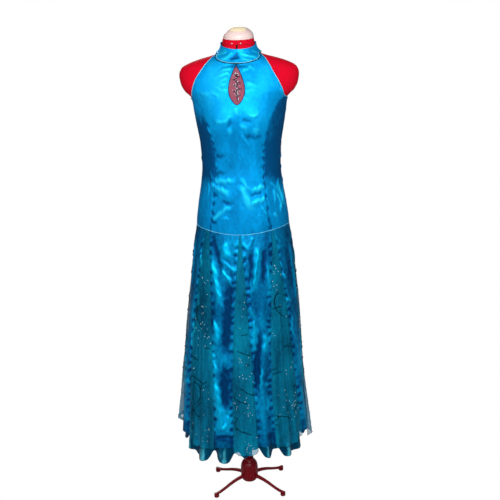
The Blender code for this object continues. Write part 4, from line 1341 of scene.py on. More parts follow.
class PathTree:
    """Geometry Nodes that turn a mesh's edges into cords or stitches, or its points into beads."""

    def __init__(self, name: str, *sizes: str) -> None:
        """Start a tree with its geometry, its sizes and its material.

        Args:
            name: The tree's name.
            sizes: The names of its sizes.
        """
        self.tree = bpy.data.node_groups.new(name, "GeometryNodeTree")
        self.inputs: dict[str, str] = {}
        self.socket("Geometry", "Geometry")
        self.tree.interface.new_socket("Geometry", in_out="OUTPUT", socket_type="NodeSocketGeometry")
        for size in sizes:
            self.socket(size, "Float")
        self.socket("Finish", "Material")
        self.taken = self.tree.nodes.new("NodeGroupInput").outputs

    def socket(self, name: str, kind: str) -> None:
        """Add a named input."""
        made = self.tree.interface.new_socket(name, in_out="INPUT", socket_type="NodeSocket" + kind)
        self.inputs[name] = made.identifier

    def node(self, kind: str, **values: object) -> bpy.types.Node:
        """Return a new geometry node, filled in."""
        return fill(self.tree, self.tree.nodes.new("GeometryNode" + kind), **values)

    def ended(self, geometry: bpy.types.NodeSocket) -> "PathTree":
        """End the tree in real geometry with its material.

        Args:
            geometry: What the tree makes.

        Returns:
            The tree.
        """
        real = self.node("RealizeInstances", Geometry=geometry).outputs["Geometry"]
        dressed = self.node("SetMaterial", Geometry=real, Material=self.taken["Finish"])
        fill(self.tree, self.tree.nodes.new("NodeGroupOutput"), Geometry=dressed.outputs["Geometry"])
        return self

    def make(
        self,
        name: str,
        points: np.ndarray,
        edges: Sequence,
        finish: bpy.types.Material,
        slot: str,
        **sizes: float,
    ) -> None:
        """Run the tree on points and edges, and keep the result as a plain mesh.

        Args:
            name: The piece's name.
            points: The points.
            edges: Pairs of point indices.
            finish: The piece's material.
            slot: Not used.
            sizes: Values of the tree's named inputs.
        """
        mesh = bpy.data.meshes.new(name)
        mesh.from_pydata(points.tolist(), [tuple(int(i) for i in edge) for edge in edges], [])
        guide = linked(name + "_guide", mesh)
        runs = guide.modifiers.new("make", "NODES")
        runs.node_group = self.tree
        for key, value in {"Finish": finish, **sizes}.items():
            runs[self.inputs[key]] = value
        plain = baked(guide)
        bpy.data.objects.remove(guide, do_unlink=True)
        plain.name = name
        plain.shade_smooth()
        add_piece(name, plain, finish)


def cord_tree() -> PathTree:
    """Give edges a round section.

    Returns:
        The tree.
    """
    made = PathTree("cords", "Radius")
    curve = made.node("MeshToCurve", Mesh=made.taken["Geometry"]).outputs["Curve"]
    ring = made.node("CurvePrimitiveCircle", Resolution=5, Radius=made.taken["Radius"])
    tube = made.node("CurveToMesh", Curve=curve, Profile_Curve=ring.outputs["Curve"], Fill_Caps=True)
    return made.ended(tube.outputs["Mesh"])


def bead_tree() -> PathTree:
    """Put a small bead on each point.

    Returns:
        The tree.
    """
    made = PathTree("beads", "Radius")
    ball = made.node("MeshIcoSphere", Radius=made.taken["Radius"], Subdivisions=1).outputs["Mesh"]
    put = made.node("InstanceOnPoints", Points=made.taken["Geometry"], Instance=ball)
    return made.ended(put.outputs["Instances"])


def stitch_tree() -> PathTree:
    """Sew stitches along edges.

    Returns:
        The tree.
    """
    made = PathTree("stitches", "Radius", "Length", "Pitch")
    taken = made.taken
    curve = made.node("MeshToCurve", Mesh=taken["Geometry"]).outputs["Curve"]
    steps = made.node("CurveToPoints", mode="LENGTH", Curve=curve, Length=taken["Pitch"]).outputs
    stitch = made.node("MeshCylinder", Vertices=5, Radius=taken["Radius"], Depth=taken["Length"])
    put = made.node(
        "InstanceOnPoints",
        Points=steps["Points"],
        Instance=stitch.outputs["Mesh"],
        Rotation=steps["Rotation"],
    )
    return made.ended(put.outputs["Instances"])


class Maker:
    """What every sub-assembly is built with: the finishes and the trees."""

    def __init__(self) -> None:
        """Build the finishes and the trees."""
        self.finishes = Finishes()
        self.cords = cord_tree()
        self.beads = bead_tree()
        self.stitches = stitch_tree()

    def cloth(
        self,
        name: str,
        node: str,
        points: np.ndarray,
        plain: np.ndarray,
        tone: np.ndarray | None,
        finish: bpy.types.Material,
        slot: str = "satin",
        held: Held = Held.STRETCHED,
        thickness: float | None = SHEET_THICKNESS,
    ) -> bpy.types.Object:
        """Make a sheet of cloth from the grid of its outer face.

        Args:
            name: The piece's name.
            node: The solid that it stands for.
            points: The grid, with its creases.
            plain: The same grid before its creases, which is as large as the cut; not used.
            tone: The painted light at each point, from 0 for painted shade to 1 for a painted highlight, or
                None.
            finish: Its material.
            slot: Not used.
            held: How it is held; not used.
            thickness: Its thickness, or None for a net of one layer.

        Returns:
            The piece.
        """
        piece = add_piece(name, cloth_mesh(name, points, tone, thickness), finish, node)
        return piece

    def solid(
        self, name: str, node: str, rings: np.ndarray, finish: bpy.types.Material, slot: str
    ) -> None:
        """Make a closed solid from rings that go down, in the place of a solid or of none."""
        add_piece(name, solid_mesh(name, rings), finish, node)

    def cord(
        self,
        name: str,
        path: np.ndarray,
        radius: float,
        finish: bpy.types.Material,
        slot: str = "satin",
        loop: bool = False,
    ) -> None:
        """Lay a thin trim along a path, with its ends joined if it is a loop."""
        self.cords.make(name, path, chain(len(path), loop=loop), finish, slot, Radius=radius)

    def sew(self, name: str, path: np.ndarray, slot: str, **sizes: float) -> None:
        """Sew dark stitches along a path."""
        self.stitches.make(name, path, chain(len(path)), self.finishes.thread, slot, **sizes)


@dataclass
class Part:
    """A sub-assembly, and the maker that builds it."""

    maker: Maker


@dataclass
class FormBody(Part):
    """The red padded form and what is on its neck."""

    rows: int = 150
    columns: int = 144
    band_points: int = 96
    band_height: float = 1.6490
    seam_heights: Place = (1.6470, 1.6665)
    slot_heights: Place = (1.6300, 1.6478)
    slot_angle: float = -5.0
    rivet_places: tuple[Place, ...] = ((-22.5, 1.6553), (8.7, 1.6558))
    rivet_profile: tuple[Place, ...] = (
        (0.0003, 0.0017),
        (0.0014, 0.0014),
        (0.0024, 0.0008),
        (0.0027, 0.0),
        (0.0026, -0.001),
    )

    def build(self) -> None:
        """Build the form's body, and the seams, rivets and slot on its neck."""
        fine = self.maker.finishes
        heights = np.linspace(NECK_TOP, FORM_SECTIONS[0].z, self.rows)[:, None]
        around = np.arange(self.columns) * 2 * pi / self.columns
        self.maker.solid("form_body", "form_torso", form_skin(around, heights), fine.felt, "form_cover")
        around = np.linspace(-pi, pi, self.band_points + 1)[:-1]
        band = offset(form_skin, around, np.full(self.band_points, self.band_height), 0.0002)
        self.maker.cord("form_neck_seam", band, 0.0004, fine.shadow, "form_cover", True)
        self.draw_line("form_front_seam", self.seam_heights, 12, 0.0001, 0.0003)
        # The neck's slot is drawn as a dark line: painted shade inside the slot.
        self.draw_line("form_neck_slot", self.slot_heights, 10, 0.0002, 0.0028)
        for number, (degrees, height) in enumerate(self.rivet_places, start=1):
            angle = np.asarray(radians(degrees))
            at = offset(form_skin, angle, np.asarray(height), 0.0)
            out = offset(form_skin, angle, np.asarray(height), 1.0) - at
            rings = faced(turned_rings(self.rivet_profile, 20), at, out)
            self.maker.solid(f"form_rivet_{number}", "", rings, fine.rivet, "form_cover")

    def draw_line(self, name: str, heights: Place, count: int, out: float, radius: float) -> None:
        """Draw an upright dark line on the front of the neck.

        Args:
            name: The piece's name.
            heights: The line's two ends.
            count: How many points it has.
            out: How far out of the skin it lies.
            radius: Its radius.
        """
        angles = np.full(count, radians(self.slot_angle))
        path = offset(form_skin, angles, np.linspace(*heights, count), out)
        self.maker.cord(name, path, radius, self.maker.finishes.shadow, "form_cover")


@dataclass
class NeckCap(Part):
    """The domed cap on the neck, and the pad on its front."""

    radius: float = 0.0505
    height: float = 0.0355
    curve: float = 2.2
    pad_half_width: float = 0.024
    pad_from: float = 0.0245
    pad_back_y: float = -0.0100
    pad_thickness: float = 0.0012
    pad_gap: float = 0.0007
    pad_points: int = 25
    touch_gap: float = 0.0003
    # The rolled lip: how far inside the dome's radius it is, and its height.
    lip: tuple[Place, ...] = (
        (0.0007, 0.0044),
        (0.0009, 0.0036),
        (0.0002, 0.0028),
        (0.0, 0.0016),
        (0.0004, 0.0004),
        (0.0014, 0.0),
    )

    def placed(self, points: np.ndarray) -> np.ndarray:
        """Return points tilted with the neck and set on it."""
        tilt = np.array(Matrix.Rotation(NECK_TILT, 3, "X"))
        return points @ tilt.T + np.array([0, 0, NECK_TOP + self.touch_gap / cos(NECK_TILT)])

    def radius_at(self, height: float) -> float:
        """Return the dome's radius at a height over its rim."""
        return self.radius * sqrt(max(0.0, 1 - (height / self.height) ** self.curve))

    def point(self, x: float, y: float) -> Triple:
        """Return the point on the dome over a place."""
        return x, y, self.height * (1 - (x * x + y * y) / self.radius**2) ** (1 / self.curve)

    def normal(self, x: float, y: float, height: float) -> np.ndarray:
        """Find the direction straight out of the dome.

        Args:
            x: A point on the dome, across.
            y: The same point's depth.
            height: Its height over the rim.

        Returns:
            The direction.
        """
        up = self.curve / 2 * height ** (self.curve - 1) / self.height**self.curve
        out = np.array([x / self.radius**2, y / self.radius**2, up])
        return out / np.linalg.norm(out)

    def build(self) -> None:
        """Build the dome with its rolled lip, and the pad."""
        fine = self.maker.finishes
        heights = self.height * np.sin(np.linspace(0.495 * pi, 0.06 * pi, 30))
        profile = [(self.radius_at(h), h) for h in heights]
        profile += [(self.radius - inside, h) for inside, h in self.lip]
        dome = self.placed(turned_rings(profile, 72))
        self.maker.solid("neck_cap_dome", "form_neck_cap", dome, fine.cap, "neck_cap")
        across = np.linspace(-self.pad_half_width, self.pad_half_width, self.pad_points)
        lower = -np.sqrt(self.radius_at(self.pad_from) ** 2 - across**2)
        forward = np.linspace(0, 1, self.pad_points)[:, None]
        depth = self.pad_back_y + (lower - self.pad_back_y) * forward
        grid = np.array([[self.point(x, y) for x, y in zip(across, row)] for row in depth])
        normals = np.array([[self.normal(*point) for point in row] for row in grid])
        outer = self.placed(grid + normals * (self.pad_gap + self.pad_thickness))
        mesh = cloth_mesh("neck_cap_pad", outer, None, self.pad_thickness)
        add_piece("neck_cap_pad", mesh, fine.pad, "form_cap_pad")


@dataclass
class Stand(Part):
    """The pole, the moulded hub at its foot, four legs and their pads."""

    pole_radius: float = 0.0125
    pole_base: float = 0.1163
    pole_bevel: float = 0.0006
    hub_radius: float = 0.0330
    leg_angles: tuple[float, ...] = (57.0, 123.0, -123.0, -57.0)
    leg_reach: float = 0.150
    leg_end: float = 0.008
    leg_squareness: float = 0.6
    foot_radius: float = 0.0095
    foot_height: float = 0.0090
    touch_gap: float = 0.0003

    def build(self) -> None:
        """Build the pole, the hub and the legs."""
        top = FORM_SECTIONS[0].z - self.touch_gap
        slim = self.pole_radius - self.pole_bevel
        pole = (
            (slim, top),
            (self.pole_radius, top - self.pole_bevel),
            (self.pole_radius, self.pole_base + self.pole_bevel),
            (slim, self.pole_base),
        )
        self.mould("stand_tube", "stand_pole", turned_rings(pole, 48))
        levels = table(
            Level,
            (0.020, 0.020),
            (0.023, 0.027),
            (0.032, 0.0315),
            (0.044, self.hub_radius),
            (0.066, self.hub_radius),
            (0.085, 0.0315),
            (0.098, 0.026),
            (0.108, 0.018),
            (self.pole_base - self.touch_gap, 0.0165),
        )
        heights = np.linspace(levels[-1].z, levels[0].z, 60)
        hub = [(float(column(levels, "value", z)), z) for z in heights]
        self.mould("stand_hub_moulding", "stand_hub", turned_rings(hub, 64))
        for number, degrees in enumerate(self.leg_angles, start=1):
            self.build_leg(number, radians(degrees))

    def mould(self, name: str, node: str, rings: np.ndarray) -> None:
        """Make a moulding of the stand's red plastic, from rings that go down."""
        self.maker.solid(name, node, rings, self.maker.finishes.stand, "stand_plastic")

    def build_leg(self, number: int, turned: float) -> None:
        """Build one leg and its pad.

        Args:
            number: The leg's number.
            turned: Where it points, in radians.
        """
        under = self.foot_height + self.touch_gap
        # A section's z is the leg's reach here, its front the leg's height, its back half its depth.
        widths = table(
            Section,
            (self.hub_radius + self.touch_gap, 0.0060, 0.0420, 0.0065),
            (0.055, 0.0056, 0.0390, 0.0058),
            (0.085, 0.0053, 0.0310, 0.0052),
            (0.112, 0.0050, 0.0210, 0.0046),
            (self.leg_reach - self.leg_end, 0.0055, under + 0.0040, 0.0040),
            (self.leg_reach + self.leg_end, 0.0055, under + 0.0036, 0.0036),
        )
        a = np.arange(28) * 2 * pi / 28
        square_x = np.sign(np.cos(a)) * np.abs(np.cos(a)) ** self.leg_squareness
        square_z = np.sign(np.sin(a)) * np.abs(np.sin(a)) ** self.leg_squareness
        rings = []
        for reach in np.linspace(widths[-1].z, widths[0].z, 40):
            across = float(column(widths, "half_width", reach)) * square_x
            up = float(column(widths, "back", reach)) * square_z
            x = across * cos(turned) + reach * sin(turned)
            y = across * sin(turned) - reach * cos(turned)
            rings.append(np.stack([x, y, float(column(widths, "front", reach)) + up], axis=-1))
        self.mould(f"stand_arm_{number}", f"stand_leg_{number}", np.array(rings))
        profile = (
            (self.foot_radius - 0.0020, self.foot_height),
            (self.foot_radius - 0.0008, self.foot_height - 0.0005),
            (self.foot_radius, self.foot_height - 0.0020),
            (self.foot_radius, 0.0008),
            (self.foot_radius - 0.0008, 0.0),
        )
        at = np.array([self.leg_reach * sin(turned), -self.leg_reach * cos(turned), 0.0])
        self.mould(f"stand_pad_{number}", f"stand_foot_{number}", turned_rings(profile, 40) + at)


@dataclass
class Collar(Part):
    """The stand-up collar, open at centre back, with its buttons."""

    columns: int = 260
    rows: int = 30
    edge_gap: float = 0.0001
    back_gap: float = 0.012
    edge_roll: float = 0.0007
    lift: float = 0.0016
    painted_light_depth: float = 0.0046
    fold_share: float = 0.5
    deepest: float = 0.0022
    arc: float = 0.062
    shadow_drop: float = 0.0018
    shadow_reach: float = 1.1
    edge_width: float = 0.0030
    turn_z: float = 1.64
    button_radius: float = 0.0055
    button_height: float = 0.0028
    button_angle: float = 172.0
    button_heights: tuple[float, ...] = (1.636, 1.648)

    def build(self) -> None:
        """Build the band with its edges, and the buttons."""
        start = float(turn(self.turn_z))
        angles = np.linspace(self.back_gap - pi, pi - self.back_gap, self.columns)
        top = collar_top(angles)
        bottom = collar_bottom(angles) + self.edge_gap
        heights = top + (bottom - top) * np.linspace(0, 1, self.rows)[:, None]
        spread = np.broadcast_to(angles, heights.shape)
        folds = total_relief(COLLAR_CREASES, np.degrees(spread), heights, lambda z: self.arc)
        relief = folds * self.fold_share
        for edge in (top, bottom):
            relief = relief + self.edge_roll * ridge(np.abs(heights - edge), self.edge_width)
        relief = np.maximum(relief, -self.deepest)
        plain = offset(form_skin, spread + start, heights, EASE + WALL)
        lift = self.lift * (0.3 + 0.7 * np.clip(np.cos(spread), 0, 1))
        points = offset(form_skin, spread + start, heights, EASE + WALL + lift + relief)
        # The creases also paint shade into the collar's hollows and light onto its ridges.
        tone = np.clip(0.55 + folds / self.painted_light_depth, 0, 1)
        fine = self.maker.finishes
        self.maker.cloth("collar", "collar_band", points, plain, tone, fine.satin)
        self.maker.cord("collar_lower_edge", points[-1], 0.0010, fine.piping)
        # A dark cord below the collar's front edge is painted shadow under the collar, drawn in the dark
        # thread finish.
        front = np.abs(angles) < self.shadow_reach
        below = (bottom - self.shadow_drop)[front]
        shadow = offset(form_skin, angles[front] + start, below, EASE + WALL + 0.0004)
        self.maker.cord("collar_painted_shadow", shadow, 0.0012, fine.thread)
        for number, height in enumerate(self.button_heights, start=1):
            self.build_button(number, np.asarray(height), np.asarray(radians(self.button_angle) + start))

    def build_button(self, number: int, height: np.ndarray, angle: np.ndarray) -> None:
        """Build one covered button.

        Args:
            number: The button's number.
            height: Its height on the collar.
            angle: Its angle in radians.
        """
        at = offset(form_skin, angle, height, EASE + WALL + 0.0006)
        out = at - offset(form_skin, angle, height, EASE)
        r, h = self.button_radius, self.button_height
        profile = (
            (r * 0.06, h),
            (r * 0.4, h * 0.96),
            (r * 0.75, h * 0.80),
            (r * 0.93, h * 0.55),
            (r, 0.0008),
            (r * 0.93, 0.0003),
            (r * 0.8, 0.0),
        )
        rings = faced(turned_rings(profile, 32), at, out)
        button = self.maker.finishes.button
        self.maker.solid(f"button_{number}", f"collar_button_{number}", rings, button, "buttons")


@dataclass
class Bodice(Part):
    """The fitted panels, the keyhole with its net, the zip and the trims."""

    halter_rows: int = 60
    lower_rows: int = 120
    front_columns: int = 110
    side_columns: int = 44
    back_columns: int = 64
    insert_rows: int = 60
    insert_columns: int = 30
    zip_rows: int = 140
    zip_columns: int = 17
    underarm_z: float = 1.478
    back_top_z: float = 1.430
    insert_top_z: float = 1.5885
    insert_margin: float = 0.0080
    zip_half_width: float = 0.004
    collar_gap: float = 0.0001
    front_arc: float = 0.14
    side_arc: float = 0.12
    neckline_arc: float = 0.15
    seam_dip: float = 0.0010
    seam_width: float = 0.0040
    deepest: float = 0.0026
    # How deep a crease or pucker is for full painted light, and where and how strongly shade is painted
    # along the seams, on the side panels and low on the waist.
    painted_light_depth: float = 0.0072
    pucker_depth: float = 0.0050
    seam_shade: float = 0.22
    shade_width: float = 2.0
    shade_z: float = 1.190
    shade_fade: float = 0.060
    side_shade: float = 0.34
    left_shade_z: float = 1.455
    waist_from: float = 1.420
    waist_fade: float = 0.12
    waist_shade: float = 0.14
    stitch_from_edge: float = 0.0065
    loop_centre: Place = (0.0075, 1.5800)
    loop_size: Place = (0.0062, 0.0026)
    loop_slope: float = 0.10

    def __post_init__(self) -> None:
        """Gather the princess seams, the side seams and the zip, and soften the creases."""
        creases = []
        for side, inward, seed in ((Side.LEFT, Side.RIGHT, 11), (Side.RIGHT, Side.LEFT, 23)):
            princess = lambda z, s=side: s.value * float(column(PRINCESS_SEAM, "value", z))
            upper, lower, outer = PRINCESS_GATHERS
            creases += upper.along(princess, inward, (1.365, 1.240), seed, bodice_arc)
            creases += lower.along(princess, inward, (1.240, 1.068), seed + 1, bodice_arc)
            creases += outer.along(princess, side, (1.440, 1.068), seed + 2, bodice_arc)
        for side, inward, seed in ((Side.LEFT, Side.RIGHT, 31), (Side.RIGHT, Side.LEFT, 37)):
            seam = lambda z, s=side: s.value * 90.0
            for way in Side:
                creases += SIDE_GATHERS.along(seam, way, (1.45, 1.07), seed + way.value, bodice_arc)
            zipped = lambda z, s=side: s.value * 178.2
            creases += ZIP_GATHERS.along(zipped, inward, (1.42, 1.07), seed + 3, bodice_arc)
        self.puckers = creases
        self.creases = [
            replace(c, half_width=1.1 * c.half_width, rise=0.95 * c.rise, end_fade=c.end_fade + 0.1)
            for c in BODICE_CREASES
        ]

    @property
    def zip_angle(self) -> float:
        """Return half the angle that the zip takes up."""
        return self.zip_half_width / self.front_arc

    def edge_rows(self) -> tuple[np.ndarray, np.ndarray]:
        """Find the front panel's edge: the halter, then the princess seam.

        Returns:
            Heights down the edge, and its half-angles in degrees.
        """
        break_z = PRINCESS_SEAM[0].z
        shares = np.linspace(0, 1, self.halter_rows + 1) ** 1.5
        high = ARMHOLE_EDGE[0].z + (break_z - ARMHOLE_EDGE[0].z) * shares
        low = break_z + (PRINCESS_SEAM[-1].z - break_z) * np.linspace(0, 1, self.lower_rows + 1)
        halter = column(ARMHOLE_EDGE, "value", high)
        princess = column(PRINCESS_SEAM, "value", low)
        return np.concatenate([high, low[1:]]), np.concatenate([halter, princess[1:]])

    def dressed(self, angles: np.ndarray, heights: np.ndarray, seams: np.ndarray) -> tuple:
        """Lay a grid of cloth over the form.

        Args:
            angles: Angles before the dress's turn.
            heights: Heights.
            seams: The distance from each point to the nearest seam.

        Returns:
            The grid with its creases and without them, and its painted shade and light.
        """
        degrees = np.degrees(angles)
        large = total_relief(self.creases, degrees, heights, bodice_arc)
        small = total_relief(self.puckers, degrees, heights, bodice_arc)
        # Paint shade into the hollows of the creases and puckers and light onto their ridges, then paint
        # shade low on the waist, along the seams and over the side panels.
        tone = 0.5 + large / self.painted_light_depth + small / self.pucker_depth
        tone = tone - self.waist_shade * smooth((self.waist_from - heights) / self.waist_fade)
        beside = ridge(seams, self.seam_width)
        tone = tone - self.seam_shade * beside
        relief = np.maximum(large + small - self.seam_dip * beside, -self.deepest)
        outside = (np.abs(degrees) - column(PRINCESS_SEAM, "value", heights)) / self.shade_width
        upper = smooth((heights - self.shade_z) / self.shade_fade)
        shaded = smooth(outside) * smooth((95.0 - np.abs(degrees)) / 10.0) * upper
        shaded = shaded * np.where(degrees < 0, smooth((self.left_shade_z - heights) / 0.05), 1.0)
        tone = np.clip(tone - self.side_shade * shaded, 0, 1)
        return on_dress(angles, heights, relief), on_dress(angles, heights), tone

    def build(self) -> None:
        """Build the panels and what is sewn to them."""
        self.build_front()
        self.build_sides()
        self.build_backs()
        self.build_zip()
        self.build_insert()
        self.build_motif()
        self.build_edges()

    def build_front(self) -> None:
        """Build the centre front panel, and cut its keyhole."""
        edge_z, edge_degrees = self.edge_rows()
        edge_angle = np.radians(edge_degrees)
        across = np.linspace(-1, 1, self.front_columns)
        share = (edge_z[0] - edge_z) / (edge_z[0] - edge_z[-1])
        top = collar_bottom(across * edge_angle[0]) - self.collar_gap
        angles = across * edge_angle[:, None]
        heights = top + (hip_seam(angles[-1]) - top) * share[:, None]
        hemmed = np.where(edge_z < PRINCESS_SEAM[0].z, 0.0, 1.0)[:, None]
        seams = (1 - np.abs(across)) * edge_angle[:, None] * self.front_arc + hemmed
        points, plain, tone = self.dressed(angles, heights, seams)
        satin = self.maker.finishes.satin
        self.cut_keyhole(self.maker.cloth("front_panel", "front_centre_panel", points, plain, tone, satin))

    def cut_keyhole(self, panel: bpy.types.Object) -> None:
        """Cut the keyhole through the front panel.

        Args:
            panel: The panel.
        """
        outline = keyhole_outline(40)
        shift = keyhole_shift()
        count = len(outline)
        points = [(x + shift, y, z) for y in (-0.20, -0.03) for x, z in outline]
        faces = [tuple(range(count)), tuple(reversed(range(count, 2 * count)))]
        faces += [(i, i + count, j + count, j) for i, j in chain(count, loop=True)]
        mesh = bpy.data.meshes.new("keyhole_cutter")
        mesh.from_pydata(points, [], faces)
        turn_outwards(mesh)
        cutter = linked("keyhole_cutter", mesh)
        cut = panel.modifiers.new("keyhole", "BOOLEAN")
        cut.operation = "DIFFERENCE"
        cut.solver = "EXACT"
        cut.object = cutter
        plain = baked(panel)
        panel.modifiers.remove(cut)
        panel.data = plain
        bpy.data.objects.remove(cutter, do_unlink=True)

    def build_pair(
        self, piece: str, node: str, angles: np.ndarray, heights: np.ndarray, width: np.ndarray | float
    ) -> None:
        """Build a panel and its mirror image.

        Args:
            piece: What the two pieces are called.
            node: What the two solids are called.
            angles: The right panel's angles before the dress's turn.
            heights: Its heights.
            width: How wide it is.
        """
        across = np.linspace(0, 1, angles.shape[1])
        seams = np.broadcast_to(np.minimum(across * width, (1 - across) * width), heights.shape)
        satin = self.maker.finishes.satin
        for side in Side:
            order = slice(None, None, side.value)
            laid = self.dressed(side.value * angles[:, order], heights[:, order], seams[:, order])
            self.maker.cloth(f"{piece}_{side.word}", f"{node}_{side.word}", *laid, satin)

    def build_sides(self) -> None:
        """Build the side front panels."""
        edge_z, edge_degrees = self.edge_rows()
        low = edge_z[self.halter_rows :]
        inner = np.radians(edge_degrees[self.halter_rows :])[:, None]
        share = (low[0] - low) / (low[0] - low[-1])
        across = np.linspace(0, 1, self.side_columns)
        angles = inner + (pi / 2 - inner) * across
        top = low[0] + (self.underarm_z - low[0]) * across
        heights = top + (hip_seam(angles[-1]) - top) * share[:, None]
        self.build_pair("side_panel", "side_front", angles, heights, (pi / 2 - inner) * self.side_arc)

    def build_backs(self) -> None:
        """Build the two back panels."""
        width = pi - self.zip_angle - pi / 2
        across = np.linspace(0, 1, self.back_columns)
        angles = np.broadcast_to(pi / 2 + width * across, (self.lower_rows, self.back_columns))
        top = self.underarm_z + (self.back_top_z - self.underarm_z) * smooth(across)
        heights = top + (hip_seam(angles[0]) - top) * np.linspace(0, 1, self.lower_rows)[:, None]
        self.build_pair("back_panel", "back", angles, heights, width * self.side_arc)

    def build_zip(self) -> None:
        """Build the concealed zip: its two folded lips, its coil and its pull."""
        fine = self.maker.finishes
        across = np.linspace(-1, 1, self.zip_columns)
        angles = np.broadcast_to(pi + self.zip_angle * across, (self.zip_rows, self.zip_columns))
        share = np.linspace(0, 1, self.zip_rows)[:, None]
        heights = self.back_top_z + (HIP_SIDE_Z - self.back_top_z) * share + 0 * angles
        lips = 0.0009 * np.exp(-(((np.abs(across) - 0.45) / 0.3) ** 2))
        groove = 0.0012 * np.exp(-((across / 0.14) ** 2))
        ripple = 0.0003 * np.sin(heights / 0.0115 * 2 * pi) * (1 - np.abs(across))
        strip = cloth_mesh("zip_strip", on_dress(angles, heights, lips - groove + ripple))
        add_piece("zip_strip", strip, fine.satin, "back_zip")
        fall = np.linspace(self.back_top_z - 0.004, HIP_SIDE_Z + 0.004, 90)
        coil = on_dress(pi, fall, -0.0004)
        self.maker.sew("zip_coil", coil, "zip", Radius=0.0005, Length=0.0011, Pitch=0.0018)
        drop = np.linspace(0, 1, 9)
        pull = on_dress(pi, self.back_top_z - 0.003 - 0.016 * drop, 0.0018 + 0.0008 * drop)
        self.maker.cord("zip_pull", pull, 0.0012, fine.rivet, "zip")

    def build_insert(self) -> None:
        """Build the net behind the keyhole."""
        share = np.linspace(0, 1, self.insert_rows)[:, None]
        foot = KEYHOLE_BOTTOM - self.insert_margin
        heights = self.insert_top_z + (foot - self.insert_top_z) * share
        reach = keyhole_half_width(heights) + self.insert_margin
        angles = np.linspace(-1, 1, self.insert_columns) * reach / self.neckline_arc
        heights = heights + 0 * angles
        points = offset(form_skin, angles + turn(heights), heights, INNER_EASE + INNER_WALL)
        net = self.maker.finishes.insert_net
        self.maker.cloth("keyhole_net", "keyhole_insert", points, points, None, net, "net", thickness=None)

    def build_motif(self) -> None:
        """Draw a small branching sprig on the keyhole's net, with glitter round it."""
        fine = self.maker.finishes
        shift = keyhole_shift()
        rng = np.random.default_rng(71)
        out = INNER_EASE + INNER_WALL + 0.0005
        sprigs = [SPRIG_STEM]
        for z, side, reach in SPRIG_TWIGS:
            sprigs.append([(0.0, z), (side * reach * 0.5, z + 0.008), (side * reach, z + 0.006)])
        steps = np.linspace(0, 1, 16)
        points = []
        edges = []
        for sprig in sprigs:
            xs, zs = (np.interp(steps, np.linspace(0, 1, len(sprig)), values) for values in zip(*sprig))
            edges += chain(len(steps), len(points))
            points += [on_front(x + shift, z, out) for x, z in zip(xs, zs)]
        self.maker.cords.make("keyhole_sprig", np.array(points), edges, fine.thread, "net", Radius=0.0013)
        dots = []
        while len(dots) < 46:
            z = rng.uniform(1.480, 1.565)
            x = rng.normal(0.0, 0.007)
            if abs(x) < 0.017:
                dots.append(on_front(x + shift, z, out + 0.0002))
        self.maker.beads.make("keyhole_glitter", np.array(dots), [], fine.glitter, "net", Radius=0.0012)

    def build_edges(self) -> None:
        """Sew the rolled edges: the keyhole, the halter, the back and the hip seam."""
        fine = self.maker.finishes
        shift = keyhole_shift()
        outline = keyhole_outline(44, 0.0004)
        path = np.array([on_front(x + shift, z, EASE + WALL * 0.6) for x, z in outline])
        self.maker.cord("keyhole_binding", path, 0.0012, fine.thread, loop=True)
        for side in Side:
            self.build_gather_loop(side, shift)
        edge_z, edge_degrees = self.edge_rows()
        high = edge_z[: self.halter_rows + 1]
        halter = np.radians(edge_degrees[: self.halter_rows + 1])
        for side in Side:
            roll = on_dress(side.value * halter, high, -WALL * 0.5)
            self.maker.cord(f"halter_edge_{side.word}", roll, 0.0011, fine.piping)
            inward = side.value * (halter - self.stitch_from_edge / self.neckline_arc)
            path = on_dress(inward, high, 0.0001)
            sizes = {"Radius": 0.0003, "Length": 0.0022, "Pitch": 0.0034}
            self.maker.sew(f"halter_stitches_{side.word}", path, "satin", **sizes)
        for side in Side:
            self.build_under_edge(side)
        around = np.linspace(-pi, pi, 361)[:-1]
        seam = on_dress(around, hip_seam(around), 0.0002)
        self.maker.cord("hip_seam_edge", seam, 0.0009, fine.piping, loop=True)

    def build_gather_loop(self, side: Side, shift: float) -> None:
        """Make one of the two small loops of gathered satin beside the keyhole's top.

        Args:
            side: The side that it lies on.
            shift: Where the front's centre lies beside the axis.
        """
        path = []
        for t in np.linspace(0, 2 * pi, 25)[:-1]:
            across = self.loop_centre[0] + self.loop_size[0] * cos(t)
            up = self.loop_centre[1] + self.loop_size[1] * sin(t) - self.loop_slope * across
            path.append(on_front(side.value * across + shift, up, EASE + WALL + 0.0008))
        satin = self.maker.finishes.satin
        self.maker.cord(f"gather_loop_{side.word}", np.array(path), 0.0010, satin, loop=True)

    def build_under_edge(self, side: Side) -> None:
        """Roll the edge under one arm and across the back.

        Args:
            side: The side that it lies on.
        """
        corner = PRINCESS_SEAM[0]
        forward = np.linspace(0, 1, 30)
        front = np.linspace(radians(corner.value), pi / 2, 30)
        front_z = corner.z + (self.underarm_z - corner.z) * forward
        share = np.linspace(0, 1, 60)[1:]
        back = pi / 2 + (pi - self.zip_angle - pi / 2) * share
        back_z = self.underarm_z + (self.back_top_z - self.underarm_z) * smooth(share)
        angles = side.value * np.concatenate([front, back])
        roll = on_dress(angles, np.concatenate([front_z, back_z]), -WALL * 0.5)
        self.maker.cord(f"back_edge_{side.word}", roll, 0.0010, self.maker.finishes.piping)


@dataclass(frozen=True)
class SkirtPiece:
    """A gore or a godet: its seams' angles at a height, its hem's height and its corners' rise."""

    name: str
    node: str
    left: Callable
    right: Callable
    hem: float
    sag: float
    columns: int
    finish: bpy.types.Material
    slot: str
    thickness: float | None = SHEET_THICKNESS


